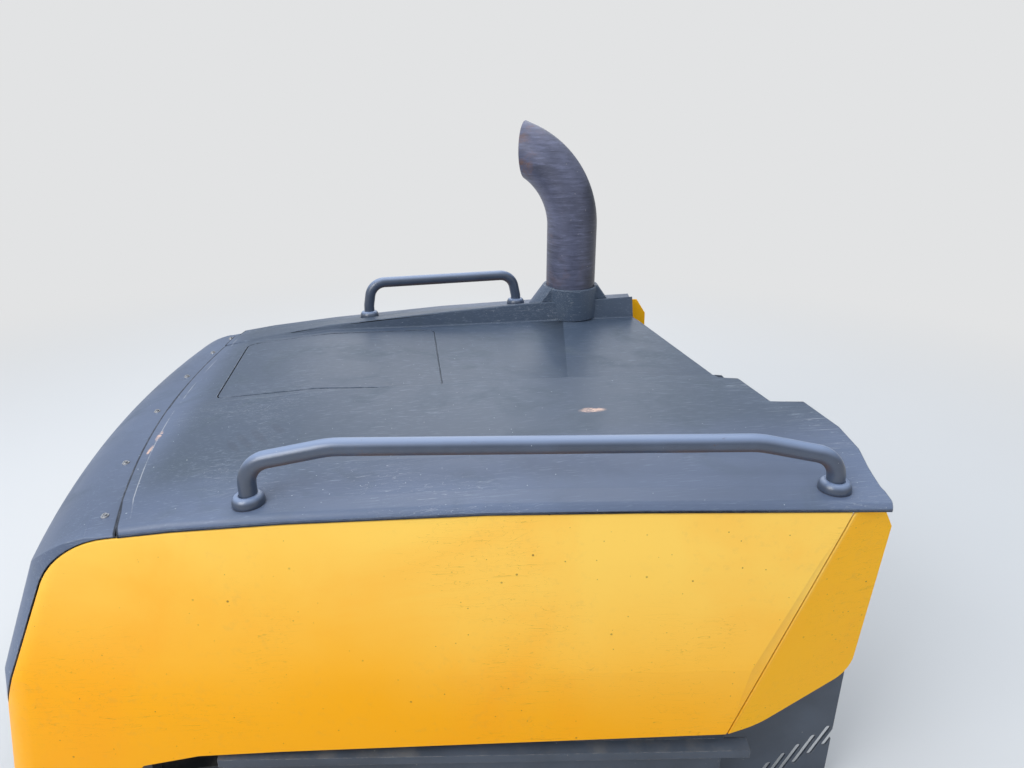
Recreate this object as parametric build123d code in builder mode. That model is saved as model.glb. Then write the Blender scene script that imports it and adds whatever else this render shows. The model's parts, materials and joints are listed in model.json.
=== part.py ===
import os
from math import atan2, cos, degrees, radians, sin

from build123d import *

# Engine bonnet of a forestry forwarder on its sill frame, in millimetres.
# +X runs back towards the cab, +Y to the machine's right, +Z up.
# The origin is the centre of the four chassis bolts, on the underside of the sills.
# Places along X are counted from the bonnet's rear corners, and heights from its
# shoulder line; at() turns such a pair into the part's frame.
os.makedirs("parts", exist_ok=True)

# Driving dimensions of the bonnet
rear_x = 740.0             # rear corners, behind the centre of the chassis bolts
shoulder_z = 720.0         # shoulder line above the underside of the sills
rear_half_width = 690.0
taper = 0.1216             # loss of half width for each millimetre forward
wall = 5.0                 # moulded panels
seam = 3.0                 # open joint between panels
seat = 0.3                 # clearance between pieces that rest on each other
lip_depth = 16.0           # rolled edge of the top cover over the side panels
lip_overhang = 8.0
flare = 40.0               # widening of the cover's volume below its lip, past the walls
bonnet_bottom = -600.0

# Columns: place, shoulder height, plateau height, recess floor height
top_stations = [
    (90.0, 0.0, 26.0, -43.0),
    (-391.0, 4.0, 29.0, -27.0),
    (-640.0, 3.0, 21.0, -20.0),
    (-963.0, -9.0, 7.0, -7.0),
    (-1140.0, -21.0, -12.0, -17.0),
    (-1320.0, -42.0, -38.0, -39.0),
    (-1620.0, -84.0, -80.0, -81.0),
]
strip_width = 46.0         # flat strip inside the shoulder
groove_width = 30.0
groove_rise = 8.0
ridge_width = 139.0        # from the shoulder to the recess wall, right side
wall_run = 8.0             # how far the recess wall leans
step_rear = -165.0         # left edge of the recess at the rear corners
step_drift = -0.085        # and how it nears the centre line going forward
step_run = 24.0
# Rear edge of the top cover in plan. Columns: place, share of the rear half width
rear_edge = [
    (-8.0, 1.07),
    (-48.0, 0.79),
    (-43.0, 0.775),
    (-36.0, 0.707),
    (14.0, -0.205),
    (-74.0, -0.239),
    (-69.0, -0.258),
    (-29.0, -0.275),
    (-20.0, -0.472),
    (47.0, -0.486),
    (50.0, -0.671),
    (25.0, -0.87),
    (18.0, -0.958),
    (0.0, -1.07),
]
front_limit = -1700.0      # ahead of everything
rear_limit = 200.0         # behind everything
reach = 1.2                # half widths that a cut runs out to each side

# Columns: height, front of the nose at its centre, side swell
wall_levels = [
    (100.0, -1340.0, -4.0),
    (-100.0, -1425.0, 12.0),
    (-320.0, -1518.0, 22.0),
    (bonnet_bottom, -1570.0, 12.0),
]
nose_sag = 50.0            # bow of the front face across its width
nose_corner = 70.0
nose_crown = 160.0         # radius between nose top and front face
nose_proud = 4.0           # the crown's front runs this far ahead of the front face
nose_top = (-1118.0, -55.0)  # place where the top starts to fall, height of its front edge
nose_brow = -320.0         # height down to which the crown's front runs straight
seam_side = -1170.0        # joint between top cover and nose, at the sides
seam_centre = -1283.0
nose_foot_rear = -1400.0   # nothing of the nose lies behind this below nose_foot_top
nose_foot_top = -450.0

# Rear corner facet, from the diagonal crease to the rear edge
crease_top = (-51.0, -22.0)
crease_bottom = (-212.0, -472.0)
facet_rear = (40.0, -655.0, -230.0)

# Openings
hatch_front = -1184.0
hatch_rear = -674.0
hatch_far = 180.0          # from the right shoulder line
hatch_rebate = 22.0
hatch_cover = 12.0         # how far the rebate reaches under the cover
grille_gap = 36.0          # between the grille's opening and a lamp's
grille_top = -175.0
grille_foot = -515.0
grille_corner = 40.0
grille_thick = 4.0
grille_flange = 18.0
grille_slot = 96.0
grille_slot_height = 18.0
grille_pitch_y = 112.0
grille_pitch_z = 30.0
grille_border = 24.0       # smallest border round the slots
lamp_inset = 88.0          # from the side wall to the lamp's centre
lamp_z = -235.0
lamp_radius = 44.0
lamp_recess = 3.0
lamp_flange = 14.0
lamp_back = -1360.0

# Exhaust tail pipe
pipe_x = -242.0
pipe_inset = 118.0         # from the rear half width
pipe_radius = 75.0
pipe_wall = 2.0
pipe_slip = 2.0            # clearance in the top cover's hole
pipe_clear = 6.0           # clearance in the inner frame
pipe_bend = 237.0
pipe_bend_start = 247.0
pipe_bend_angle = 68.0
pipe_turn_out = 25.0       # the mouth points forward and this far outward
pipe_foot = -130.0
collar_base_radius = 128.0
collar_top_radius = 84.0
collar_rise = 40.0         # above the plateau
collar_depth = 62.0

# Grab rails
rail_radius = 15.0
rail_inset = 40.0          # from the shoulder line to the rail's plane
rail_root = 20.0           # length of the legs below the shoulder line
foot_bend = 45.0
collar_radius = 25.0
collar_height = 15.0
# Columns: side, front foot, front of the straight run, its rear, rear foot, height of the
# straight run and of the legs' turn above the shoulder, radius at the ends of the run
rails = {
    "left_grab_rail": (-1, -1018.0, -880.0, -195.0, -62.0, 88.0, 60.0, 150.0),
    "right_grab_rail": (1, -861.0, -849.0, -424.0, -410.0, 97.0, 30.0, foot_bend),
}

# Sill frame, standing on the floor
sill_inset = 260.0         # from the rear half width
sill_width = 60.0
sill_height = 80.0
sill_wall = 6.0
sill_front = -1462.0
sill_rear = 40.0
bolt_x = 560.0             # half the spacing of the chassis bolts
bolt_radius = 9.0
# Columns: name, front face; each is as wide as a sill
crossmembers = [("front_crossmember", -1440.0), ("rear_crossmember", -20.0)]
# Columns: front face, height; these carry the skirts
outriggers = [(-1110.0, 40.0), (-760.0, 40.0), (-300.0, sill_height)]
buffer_radius = 24.0
buffer_x = -276.0
buffer_inset = 78.0        # from the rear half width
buffer_height = 40.0

# Hinge and lift cylinder
hinge_x = -1450.0
hinge_z = -600.0
hinge_pin = 15.0
running = 0.05             # radial clearance of a pin in its bore
eye_radius = 30.0
arm_width = 24.0
arm_depth = 48.0
lug_clearance = 1.0
lug_width = 12.0
lug_radius = 28.0
lug_foot = 60.0
lift_offset = 55.0         # from the left sill's centre
lift_base = (-853.0, -663.0)
lift_eye = (-1292.0, -477.0)
barrel_radius = 22.0
barrel_foot = 18.0         # from the base pin
barrel_length = 345.0      # from the base pin to the gland
rod_start = 60.0           # bottom of the bore, from the base pin
rod_radius = 12.0
lift_pin = 10.0
lift_eye_width = 26.0
bracket_width = 30.0

# Inner frame of the bonnet: a cage of ribs that lines the panels
rib_depth = 30.0
front_rib = (-1326.0, -1250.0)
middle_rib = (-650.0, -620.0)
rear_rib = (-354.0, -324.0)
cowl_rib = (-130.0, -100.0)
# Lower and upper edges of the level members
foot_level = (bonnet_bottom, -564.0)
low_level = (-430.0, -394.0)
shoulder_level = (-116.0, -86.0)
low_rail_rear = -270.0
shoulder_rail_rear = -10.0
# Columns: place, lower edge; a pair of posts up the sides
posts = {
    "front_post": (front_rib, foot_level[1]),
    "middle_post": (middle_rib, low_level[1]),
    "rear_post": (rear_rib, low_level[1]),
}
bows = {"front_bow": front_rib, "middle_bow": middle_rib, "rear_bow": rear_rib, "cowl_bow": cowl_rib}
rest_thick = 12.0

# Hatch hinge: two goosenecks under the cover, ahead of the hatch
hatch_left = -30.0
hatch_corner = 25.0
hatch_axis_back = 36.0     # the axis lies this far ahead of the hatch
hatch_axis_drop = 21.0     # and this far below the recess floor
hatch_pin = 5.0
gooseneck_y = (40.0, 270.0)
gooseneck_width = 12.0
gooseneck_thick = 8.0
gooseneck_reach = 58.0
gooseneck_drop = 46.0
boss_radius = 9.0
boss_gap = 1.0             # between a gooseneck and its ears
ear_radius = 10.0
ear_thick = 5.0

# Skirts, fixed to the sills under the side panels
skirt_wall = 4.0
skirt_inset = 8.0          # outer face, inside the line of the bonnet's half width
skirt_top = -442.0
skirt_front = -1130.0
skirt_rear = -205.0
ledge_out = 14.0
ledge_rear = -163.0
# Columns: share of the ledge's reach, height
ledge_section = [(0.0, -506.0), (1.0, -514.0), (1.0, -531.0), (0.0, -539.0)]
louvre_inset = 78.0        # from the rear half width
louvre_top = -372.0
louvre_rear = 50.0
slot_count = 6
slot_length = 78.0
slot_width = 11.0
slot_pitch = 29.0
slot_rise = 19.5           # each slot is this much higher than the one ahead
slot_lean = 63.0
slot_front = (-92.0, -672.0)  # middle of the foremost slot


def at(place, height):
    """Place along the bonnet and height from its shoulder, in the part's frame."""
    return place + rear_x, height + shoulder_z


def half_width(place):
    return rear_half_width + taper * place


def between(table, key, column):
    """A column of a table, read between the two rows that key lies between."""
    for (a, b) in zip(table, table[1:]):
        if key >= b[0]:
            break
    share = (key - b[0]) / (a[0] - b[0])
    return b[column] + share * (a[column] - b[column])


def shoulder(place):
    return between(top_stations, place, 1)


def plateau(place):
    return between(top_stations, place, 2)


def recess_floor(place):
    return between(top_stations, place, 3)


def nose_front(height):
    return between(wall_levels, height, 1)


def wall_swell(height):
    return between(wall_levels, height, 2)


# Sizes that follow from the width
cut_width = reach * rear_half_width
sill_y = rear_half_width - sill_inset
buffer_y = rear_half_width - buffer_inset
louvre_y = rear_half_width - louvre_inset
pipe_y = rear_half_width - pipe_inset
lift_y = -(sill_y + lift_offset)
lamp_y = half_width(nose_front(lamp_z)) + wall_swell(lamp_z) - lamp_inset
grille_width = 2 * (lamp_y - lamp_radius - grille_gap)


def top_body(drop):
    """Everything below the top cover's outer face, taken in by drop."""
    with BuildPart() as body:
        for place, edge, upper, floor in top_stations:
            x, datum = at(place, 0)
            w = half_width(place) + lip_overhang - drop
            h = half_width(place)
            step = step_rear + step_drift * place
            with BuildSketch(Plane.YZ.offset(x)):
                with BuildLine():
                    points = [
                        (-w - flare, -shoulder_z),
                        (-w - flare, edge - 3 * lip_depth),
                        (-w, edge - 2 * lip_depth),
                        (-w, edge - lip_depth / 2 - drop),
                        (-w + lip_overhang, edge - drop),
                        (-h + strip_width, edge + 1 - drop),
                        (-h + strip_width + groove_width, edge + groove_rise - drop),
                        (-h + ridge_width, upper - drop),
                        (step - drop, upper - drop),
                        (step + step_run - drop, floor - drop),
                        (h - ridge_width - wall_run + drop, floor - drop),
                        (h - ridge_width + drop, upper - drop),
                        (h - strip_width - groove_width, edge + groove_rise - drop),
                        (h - strip_width, edge + 1 - drop),
                        (w - lip_overhang, edge - drop),
                        (w, edge - lip_depth / 2 - drop),
                        (w, edge - 2 * lip_depth),
                        (w + flare, edge - 3 * lip_depth),
                        (w + flare, -shoulder_z),
                    ]
                    Polyline([(y, z + datum) for y, z in points], close=True)
                make_face()
        loft(ruled=True)
    return body.part


def facet_plane(side, drop):
    """Plane of the rear corner facet on one side (-1 left, 1 right)."""
    corners = []
    for place, height in (crease_top, crease_bottom):
        swell = wall_swell(height)
        corners.append(Vector(place, -(half_width(place) + swell), height))
    corners.append(Vector(*facet_rear))
    normal = (corners[1] - corners[0]).cross(corners[2] - corners[0]).normalized()
    if normal.Y > 0:
        normal = -normal
    foot = corners[0] - normal * drop
    x, z = at(foot.X, foot.Z)
    return Plane(
        origin=(x, -side * foot.Y, z), z_dir=(normal.X, -side * normal.Y, normal.Z)
    )


def wall_body(drop):
    """Everything inside the side walls and the nose's front face, taken in by drop."""
    with BuildPart() as body:
        for height, front, swell in wall_levels:
            corner = front + nose_sag
            side = half_width(corner) + swell - drop
            back = half_width(top_stations[0][0]) + swell - drop
            x_back, z = at(top_stations[0][0], height)
            with BuildSketch(Plane.XY.offset(z)):
                with BuildLine():
                    left = (corner + rear_x + drop, -side)
                    right = (corner + rear_x + drop, side)
                    Polyline(left, (x_back, -back), (x_back, back), right)
                    ThreePointArc(right, (front + rear_x + drop, 0), left)
                make_face()
                fillet(vertices().sort_by(Axis.X)[:2], nose_corner - drop)
        loft(ruled=True)
        for side in (-1, 1):
            split(bisect_by=facet_plane(side, drop), keep=Keep.BOTTOM)
    return body.part


def nose_body(drop):
    """Everything below the nose's crowned top, turned about the centre of its bow."""
    edge, brow = nose_top
    tip = nose_front(brow)
    chord = half_width(tip + nose_sag)
    turn_x = tip + rear_x + (chord**2 + nose_sag**2) / (2 * nose_sag)
    start = at(edge, shoulder(edge) - drop)
    corner = at(tip - nose_proud + drop, brow - drop)
    fall = at(nose_front(nose_brow) - nose_proud + drop, nose_brow)
    back = at(rear_limit + 100, 200)
    foot = (at(front_limit, 0)[0], 0)
    profile = [fall, foot, (back[0], 0), back, (start[0], back[1]), start]
    with BuildPart() as body:
        with BuildSketch(Plane.YZ.offset(turn_x)):
            with BuildLine():
                crown = [(turn_x - x, z) for x, z in (start, corner, fall)]
                FilletPolyline(*crown, radius=nose_crown - drop)
                Polyline(*[(turn_x - x, z) for x, z in profile])
            make_face()
        revolve(axis=Axis((turn_x, 0, 0), (0, 0, 1)), revolution_arc=180)
    return body.part


def yellow_outline(grow):
    """Side view of the yellow panels, larger by grow all round."""
    with BuildSketch() as outline:
        with BuildLine():
            stations = [s[0] for s in top_stations[1:-2]]
            top = [at(p, shoulder(p) - lip_depth - 2) for p in (10, *stations)]
            Polyline(
                at(38, -62),
                *top,
                at(-1327, -58),
                at(-1515, -464),
                at(-1535, bonnet_bottom),
                at(-1330, bonnet_bottom),
                at(-1262, -524),
                at(-1160, -502),
                at(-1014, -495),
                at(-150, -470),
                at(38, -392),
                close=True,
            )
        make_face()
        corner = at(-1327, -58)
        fillet(outline.vertices().sort_by_distance(corner)[0], 150)
        fillet(outline.vertices().sort_by_distance(at(-1330, bonnet_bottom))[0], 60)
        fillet(outline.vertices().sort_by_distance(at(38, -392))[0], 55)
        fillet(outline.vertices().sort_by_distance(at(-150, -470))[0], 150)
        if grow:
            offset(amount=grow)
    return outline.sketch


def side_prism(outline, side):
    """A side view outline pushed through one side of the bonnet."""
    with BuildPart() as prism:
        with BuildSketch(Plane.XZ):
            add(outline)
        extrude(amount=-side * cut_width)
    return prism.part


def mouth_cut(plane):
    """Normal of the stack's mouth: upright, facing the way the elbow turns."""
    return (plane.x_dir.X, plane.x_dir.Y, 0)


def plan_prism(outline):
    """A plan outline pushed through the whole height."""
    with BuildPart() as prism:
        with BuildSketch(Plane.XY):
            add(outline)
        extrude(amount=2 * shoulder_z)
    return prism.part


def seam_curve(back):
    """Ends and middle of the joint between cover and nose, moved back by a distance."""
    side = seam_side + rear_x + back
    end = rear_edge[0][1] * rear_half_width
    return (side, -end), (seam_centre + rear_x + back, 0), (side, end)


def cover_outline():
    """Top cover in plan, from the nose joint to the stepped rear edge."""
    start, middle, end = seam_curve(0)
    with BuildSketch() as outline:
        with BuildLine():
            ThreePointArc(start, middle, end)
            rear = [(place + rear_x, share * rear_half_width) for place, share in rear_edge]
            Polyline(end, *rear, start)
        make_face()
    return outline.sketch


def nose_outline():
    """Everything ahead of the joint, in plan."""
    start, middle, end = seam_curve(-seam)
    with BuildSketch() as outline:
        with BuildLine():
            ThreePointArc(start, middle, end)
            front = front_limit + rear_x
            Polyline(end, (front, end[1]), (front, start[1]), start)
        make_face()
    return outline.sketch


def hatch_outline(grow):
    with BuildSketch() as outline:
        with BuildLine():
            Polyline(
                (hatch_front + rear_x, hatch_left),
                (hatch_rear + rear_x, hatch_left),
                (hatch_rear + rear_x, half_width(hatch_rear) - hatch_far),
                (hatch_front + rear_x, half_width(hatch_front) - hatch_far),
                close=True,
            )
        make_face()
        fillet(outline.vertices(), hatch_corner)
        if grow:
            offset(amount=grow)
    return outline.sketch


def slab(front, rear, low, high):
    """A block across the whole width, between two places and two heights."""
    with BuildPart() as block:
        with BuildSketch(Plane.XZ):
            with BuildLine():
                Polyline(
                    at(front, low), at(rear, low), at(rear, high), at(front, high), close=True
                )
            make_face()
        extrude(amount=cut_width, both=True)
    return block.part


def front_prism(draw, grow):
    """A front view outline pushed through the nose."""
    with BuildPart() as prism:
        with BuildSketch(Plane.YZ.offset(front_limit + rear_x)):
            draw(grow)
        extrude(amount=lamp_back - front_limit)
    return prism.part


def grille_opening(grow):
    middle = (grille_top + grille_foot) / 2 + shoulder_z
    with Locations((0, middle)):
        RectangleRounded(
            grille_width + 2 * grow, grille_top - grille_foot + 2 * grow, grille_corner + grow
        )


def lamp_openings(grow):
    with Locations((-lamp_y, lamp_z + shoulder_z), (lamp_y, lamp_z + shoulder_z)):
        Circle(lamp_radius + grow)


# Shared volumes: the outer faces, the panels' inner faces and what lies inside them
inside = wall + seat
top_outer, top_inner, top_liner = top_body(0), top_body(wall), top_body(inside)
wall_outer, wall_inner, wall_liner = wall_body(0), wall_body(wall), wall_body(inside)
nose_outer, nose_inner, nose_liner = nose_body(0), nose_body(wall), nose_body(inside)
lid_thick = wall - 1
top_lid = top_body(lid_thick - seat)
top_rebate = top_body(lid_thick)
top_under_rebate = top_body(lid_thick + wall)

with BuildSketch() as cap_outline:
    with BuildLine():
        places = [s[0] for s in top_stations]
        Polyline(
            *[at(p, shoulder(p) - lip_depth) for p in places],
            at(places[-1], 200),
            at(places[0], 200),
            close=True,
        )
    make_face()
cap_prism = side_prism(cap_outline.sketch, 1) + side_prism(cap_outline.sketch, -1)
with BuildSketch() as middle_outline:
    with BuildLine():
        front, rear = top_stations[-1][0], top_stations[0][0]
        Polyline(
            (front + rear_x, half_width(front) - strip_width),
            (rear + rear_x, half_width(rear) - strip_width),
            (rear + rear_x, strip_width - half_width(rear)),
            (front + rear_x, strip_width - half_width(front)),
            close=True,
        )
    make_face()
cap_prism += plan_prism(middle_outline.sketch)
cover_prism = plan_prism(cover_outline())
nose_prism = plan_prism(nose_outline())
hatch_prism = plan_prism(hatch_outline(0))
rebate_prism = plan_prism(hatch_outline(hatch_cover)) - plan_prism(hatch_outline(-hatch_rebate))
rebate_prism -= slab(hatch_front - 2 * hatch_rebate, hatch_front + 2 * hatch_rebate, -200, 200)
lid_prism = plan_prism(hatch_outline(-seam))
axis_x, axis_z = at(
    hatch_front - hatch_axis_back, recess_floor(hatch_front) - hatch_axis_drop
)


def hatch_plane(y):
    """Side view through the hatch hinge, looking along Y."""
    return Plane(origin=(axis_x, y, axis_z), x_dir=(1, 0, 0), z_dir=(0, -1, 0))


# Moulded top cover with its hatch rebate and hinge ears
with BuildPart() as top_cover:
    add(top_outer)
    add(top_inner, mode=Mode.SUBTRACT)
    add(cap_prism, mode=Mode.INTERSECT)
    add(cover_prism, mode=Mode.INTERSECT)
    add(hatch_prism, mode=Mode.SUBTRACT)
    add((top_rebate - top_under_rebate) & rebate_prism)
    for y in gooseneck_y:
        for side in (-1, 1):
            inner = side * (gooseneck_thick / 2 + boss_gap)
            web = hatch_axis_drop - wall / 2
            with BuildSketch(hatch_plane(y + inner)):
                Circle(ear_radius)
                with Locations((0, web / 2)):
                    Rectangle(2 * ear_radius, web)
                Circle(hatch_pin + running, mode=Mode.SUBTRACT)
            extrude(amount=-side * ear_thick)
    with BuildSketch(Plane.XY.offset(shoulder_z - 200)):
        with Locations((pipe_x + rear_x, pipe_y)):
            Circle(pipe_radius + pipe_slip)
    extrude(amount=400, mode=Mode.SUBTRACT)
top_cover.part.label = "top_cover"
export_step(top_cover.part, "parts/top_cover.step")

# Hatch lid
with BuildPart() as hatch_lid:
    add(top_outer & lid_prism)
    add(top_lid, mode=Mode.SUBTRACT)
hatch_lid.part.label = "hatch_lid"
export_step(hatch_lid.part, "parts/hatch_lid.step")

# Goosenecks that carry the hatch lid
with BuildPart() as hatch_arms:
    for y in gooseneck_y:
        with BuildSketch(hatch_plane(y)):
            with BuildLine():
                route = FilletPolyline(
                    (0, 0),
                    (0, -gooseneck_drop),
                    (gooseneck_reach, -gooseneck_drop),
                    (gooseneck_reach, hatch_axis_drop + wall),
                    radius=gooseneck_width,
                )
            trace(line_width=gooseneck_width)
            Circle(boss_radius)
            Circle(hatch_pin + running, mode=Mode.SUBTRACT)
        extrude(amount=gooseneck_thick / 2, both=True)
    add(top_body(lid_thick), mode=Mode.INTERSECT)
hatch_arms.part.label = "hatch_arms"
export_step(hatch_arms.part, "parts/hatch_arms.step")

with BuildPart() as hatch_pins:
    for y in gooseneck_y:
        with BuildSketch(hatch_plane(y)):
            Circle(hatch_pin)
        extrude(amount=gooseneck_thick / 2 + boss_gap + ear_thick, both=True)
hatch_pins.part.label = "hatch_pins"
export_step(hatch_pins.part, "parts/hatch_pins.step")

# Nose cover with openings for the grille and the headlamps
with BuildPart() as nose_cover:
    add(nose_outer & wall_outer)
    add(nose_inner & wall_inner, mode=Mode.SUBTRACT)
    add(nose_prism, mode=Mode.INTERSECT)
    for side in (-1, 1):
        add(side_prism(yellow_outline(seam), side), mode=Mode.SUBTRACT)
    add(slab(nose_foot_rear, seam_side, bonnet_bottom - 10, nose_foot_top), mode=Mode.SUBTRACT)
    add(front_prism(grille_opening, 0), mode=Mode.SUBTRACT)
    add(front_prism(lamp_openings, seam), mode=Mode.SUBTRACT)
nose_cover.part.label = "nose_cover"
export_step(nose_cover.part, "parts/nose_cover.step")

# Slotted grille behind the nose
grille_height = grille_top - grille_foot
grille_columns = int((grille_width - 2 * grille_border + grille_pitch_y - grille_slot) / grille_pitch_y)
grille_rows = int((grille_height - 2 * grille_border + grille_pitch_z - grille_slot_height) / grille_pitch_z)
with BuildPart() as grille:
    add(wall_liner)
    add(wall_body(inside + grille_thick), mode=Mode.SUBTRACT)
    add(front_prism(grille_opening, grille_flange), mode=Mode.INTERSECT)
    with BuildSketch(Plane.YZ.offset(front_limit + rear_x)):
        with Locations((0, (grille_top + grille_foot) / 2 + shoulder_z)):
            with GridLocations(grille_pitch_y, grille_pitch_z, grille_columns, grille_rows):
                SlotOverall(grille_slot, grille_slot_height)
    extrude(amount=lamp_back - front_limit, mode=Mode.SUBTRACT)
grille.part.label = "grille"
export_step(grille.part, "parts/grille.step")

# Headlamps, their lenses set just inside the nose's skin
lamp_skin = wall_body(lamp_recess)
lamp_flanges = {}
for side in (-1, 1):
    with BuildPart() as flange:
        with BuildSketch(Plane.YZ.offset(lamp_back + rear_x)):
            with Locations((side * lamp_y, lamp_z + shoulder_z)):
                Circle(lamp_radius + lamp_flange)
        extrude(amount=front_limit - lamp_back)
        add(wall_liner, mode=Mode.INTERSECT)
        add(wall_body(inside + wall), mode=Mode.SUBTRACT)
    lamp_flanges[side] = flange.part
for name, side in (("left_headlamp", -1), ("right_headlamp", 1)):
    with BuildPart() as headlamp:
        with BuildSketch(Plane.YZ.offset(lamp_back + rear_x)):
            with Locations((side * lamp_y, lamp_z + shoulder_z)):
                Circle(lamp_radius)
        extrude(amount=front_limit - lamp_back)
        add(lamp_skin, mode=Mode.INTERSECT)
        add(lamp_flanges[side])
    headlamp.part.label = name
    export_step(headlamp.part, f"parts/{name}.step")

# Side panels and rear corner panels, split along the crease
panel_shell = wall_outer - wall_inner
crease_run = crease_bottom[0] - crease_top[0]
crease_fall = crease_bottom[1] - crease_top[1]


def crease(height, shift):
    """Point of the crease at a height, moved along the bonnet."""
    return at(
        crease_top[0] + (height - crease_top[1]) * crease_run / crease_fall + shift, height
    )


low, high = bonnet_bottom - 50, 200
for side, word in ((-1, "left"), (1, "right")):
    for kind, shift, far in (("side", -seam / 2, front_limit), ("corner", seam / 2, rear_limit)):
        with BuildSketch() as half:
            with BuildLine():
                corners = [crease(high, shift), crease(low, shift), at(far, low), at(far, high)]
                Polyline(*corners, close=True)
            make_face()
        name = f"{word}_{kind}_panel"
        with BuildPart() as panel:
            add(panel_shell)
            add(side_prism(yellow_outline(0) & half.sketch, side), mode=Mode.INTERSECT)
        panel.part.label = name
        export_step(panel.part, f"parts/{name}.step")

# Grab rails with domed collars
for name, (side, foot_a, run_a, run_b, foot_b, height, turn, run_bend) in rails.items():
    angle = side * degrees(atan2(taper, 1))
    inset = side * (rear_half_width - rail_inset)
    lean = 1 / cos(radians(angle))
    plane = Plane(
        origin=(rear_x, inset, shoulder_z),
        x_dir=(cos(radians(angle)), sin(radians(angle)), 0),
        z_dir=(sin(radians(angle)), -cos(radians(angle)), 0),
    )
    with BuildPart() as rail:
        with BuildLine(plane):
            points = [
                (foot_a * lean, -rail_root),
                (foot_a * lean, turn),
                (run_a * lean, height),
                (run_b * lean, height),
                (foot_b * lean, turn),
                (foot_b * lean, -rail_root),
            ]
            path = FilletPolyline(*points, radius=[foot_bend, run_bend, run_bend, foot_bend])
        with BuildSketch(Plane(origin=path @ 0, z_dir=path % 0)):
            Circle(rail_radius)
        sweep(path=path)
        for foot in (foot_a, foot_b):
            x, z = at(foot, shoulder(foot))
            y = side * (half_width(foot) - rail_inset)
            with BuildSketch(Plane.XY.offset(z)):
                with Locations((x, y)):
                    Circle(collar_radius)
            extrude(amount=collar_height, taper=25)
        add(top_body(-seat), mode=Mode.SUBTRACT)
    rail.part.label = name
    export_step(rail.part, f"parts/{name}.step")


# Exhaust: a bent stack, cut upright at its mouth, and a moulded collar
mouth_turn = radians(pipe_turn_out)
pipe_plane = Plane(
    origin=(pipe_x + rear_x, pipe_y, shoulder_z),
    x_dir=(-cos(mouth_turn), sin(mouth_turn), 0),
    z_dir=(sin(mouth_turn), cos(mouth_turn), 0),
)
with BuildPart() as exhaust_stack:
    with BuildLine(pipe_plane):
        riser = Line((0, pipe_foot), (0, pipe_bend_start))
        elbow = JernArc(riser @ 1, riser % 1, pipe_bend, -pipe_bend_angle)
        Line(elbow @ 1, elbow @ 1 + (elbow % 1) * pipe_radius)
    with BuildSketch(Plane(origin=riser @ 0, z_dir=riser % 0)):
        Circle(pipe_radius)
        Circle(pipe_radius - pipe_wall, mode=Mode.SUBTRACT)
    sweep(path=Wire([*exhaust_stack.pending_edges]))
    split(bisect_by=Plane(origin=elbow @ 1, z_dir=mouth_cut(pipe_plane)), keep=Keep.BOTTOM)
exhaust_stack.part.label = "exhaust_stack"
export_step(exhaust_stack.part, "parts/exhaust_stack.step")

collar_z = shoulder_z + plateau(pipe_x) + collar_rise
with BuildPart() as exhaust_collar:
    with BuildSketch(Plane.XY.offset(collar_z - collar_depth)):
        with Locations((pipe_x + rear_x, pipe_y)):
            Circle(collar_base_radius)
    with BuildSketch(Plane.XY.offset(collar_z)):
        with Locations((pipe_x + rear_x, pipe_y)):
            Circle(collar_top_radius)
    loft()
    with BuildSketch(Plane.XY.offset(collar_z)):
        with Locations((pipe_x + rear_x, pipe_y)):
            Circle(pipe_radius + seat)
    extrude(amount=-4 * collar_rise, mode=Mode.SUBTRACT)
    add(wall_outer, mode=Mode.INTERSECT)
    add(top_body(-seat), mode=Mode.SUBTRACT)
exhaust_collar.part.label = "exhaust_collar"
export_step(exhaust_collar.part, "parts/exhaust_collar.step")

# Inner frame of the bonnet, welded from ribs that line the panels
rib_inside = inside + rib_depth
wall_room = wall_body(rib_inside)
lining = (wall_liner & top_liner & nose_liner) - (
    wall_room & top_body(rib_inside) & nose_body(rib_inside)
)
with BuildPart() as stack_room:
    with BuildSketch(Plane.XY.offset(shoulder_z - 200)):
        with Locations((pipe_x + rear_x, pipe_y)):
            Circle(pipe_radius + pipe_clear)
    extrude(amount=400)
lining -= stack_room.part


def one_side(side):
    """Everything on one side of the centre line."""
    with BuildPart() as block:
        with BuildSketch(Plane.XY):
            with Locations(((front_limit + rear_limit) / 2 + rear_x, side * cut_width / 2)):
                Rectangle(rear_limit - front_limit, cut_width)
        extrude(amount=2 * shoulder_z)
    return block.part


for name, zone in {
    "nose_bow": slab(front_limit, front_rib[0], *shoulder_level),
    "foot_ring": slab(front_limit, front_rib[1], *foot_level),
    **{bow: slab(*rib, shoulder_level[1], 100) for bow, rib in bows.items()},
}.items():
    with BuildPart() as member:
        add(lining & zone)
    member.part.label = name
    export_step(member.part, f"parts/{name}.step")

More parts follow.
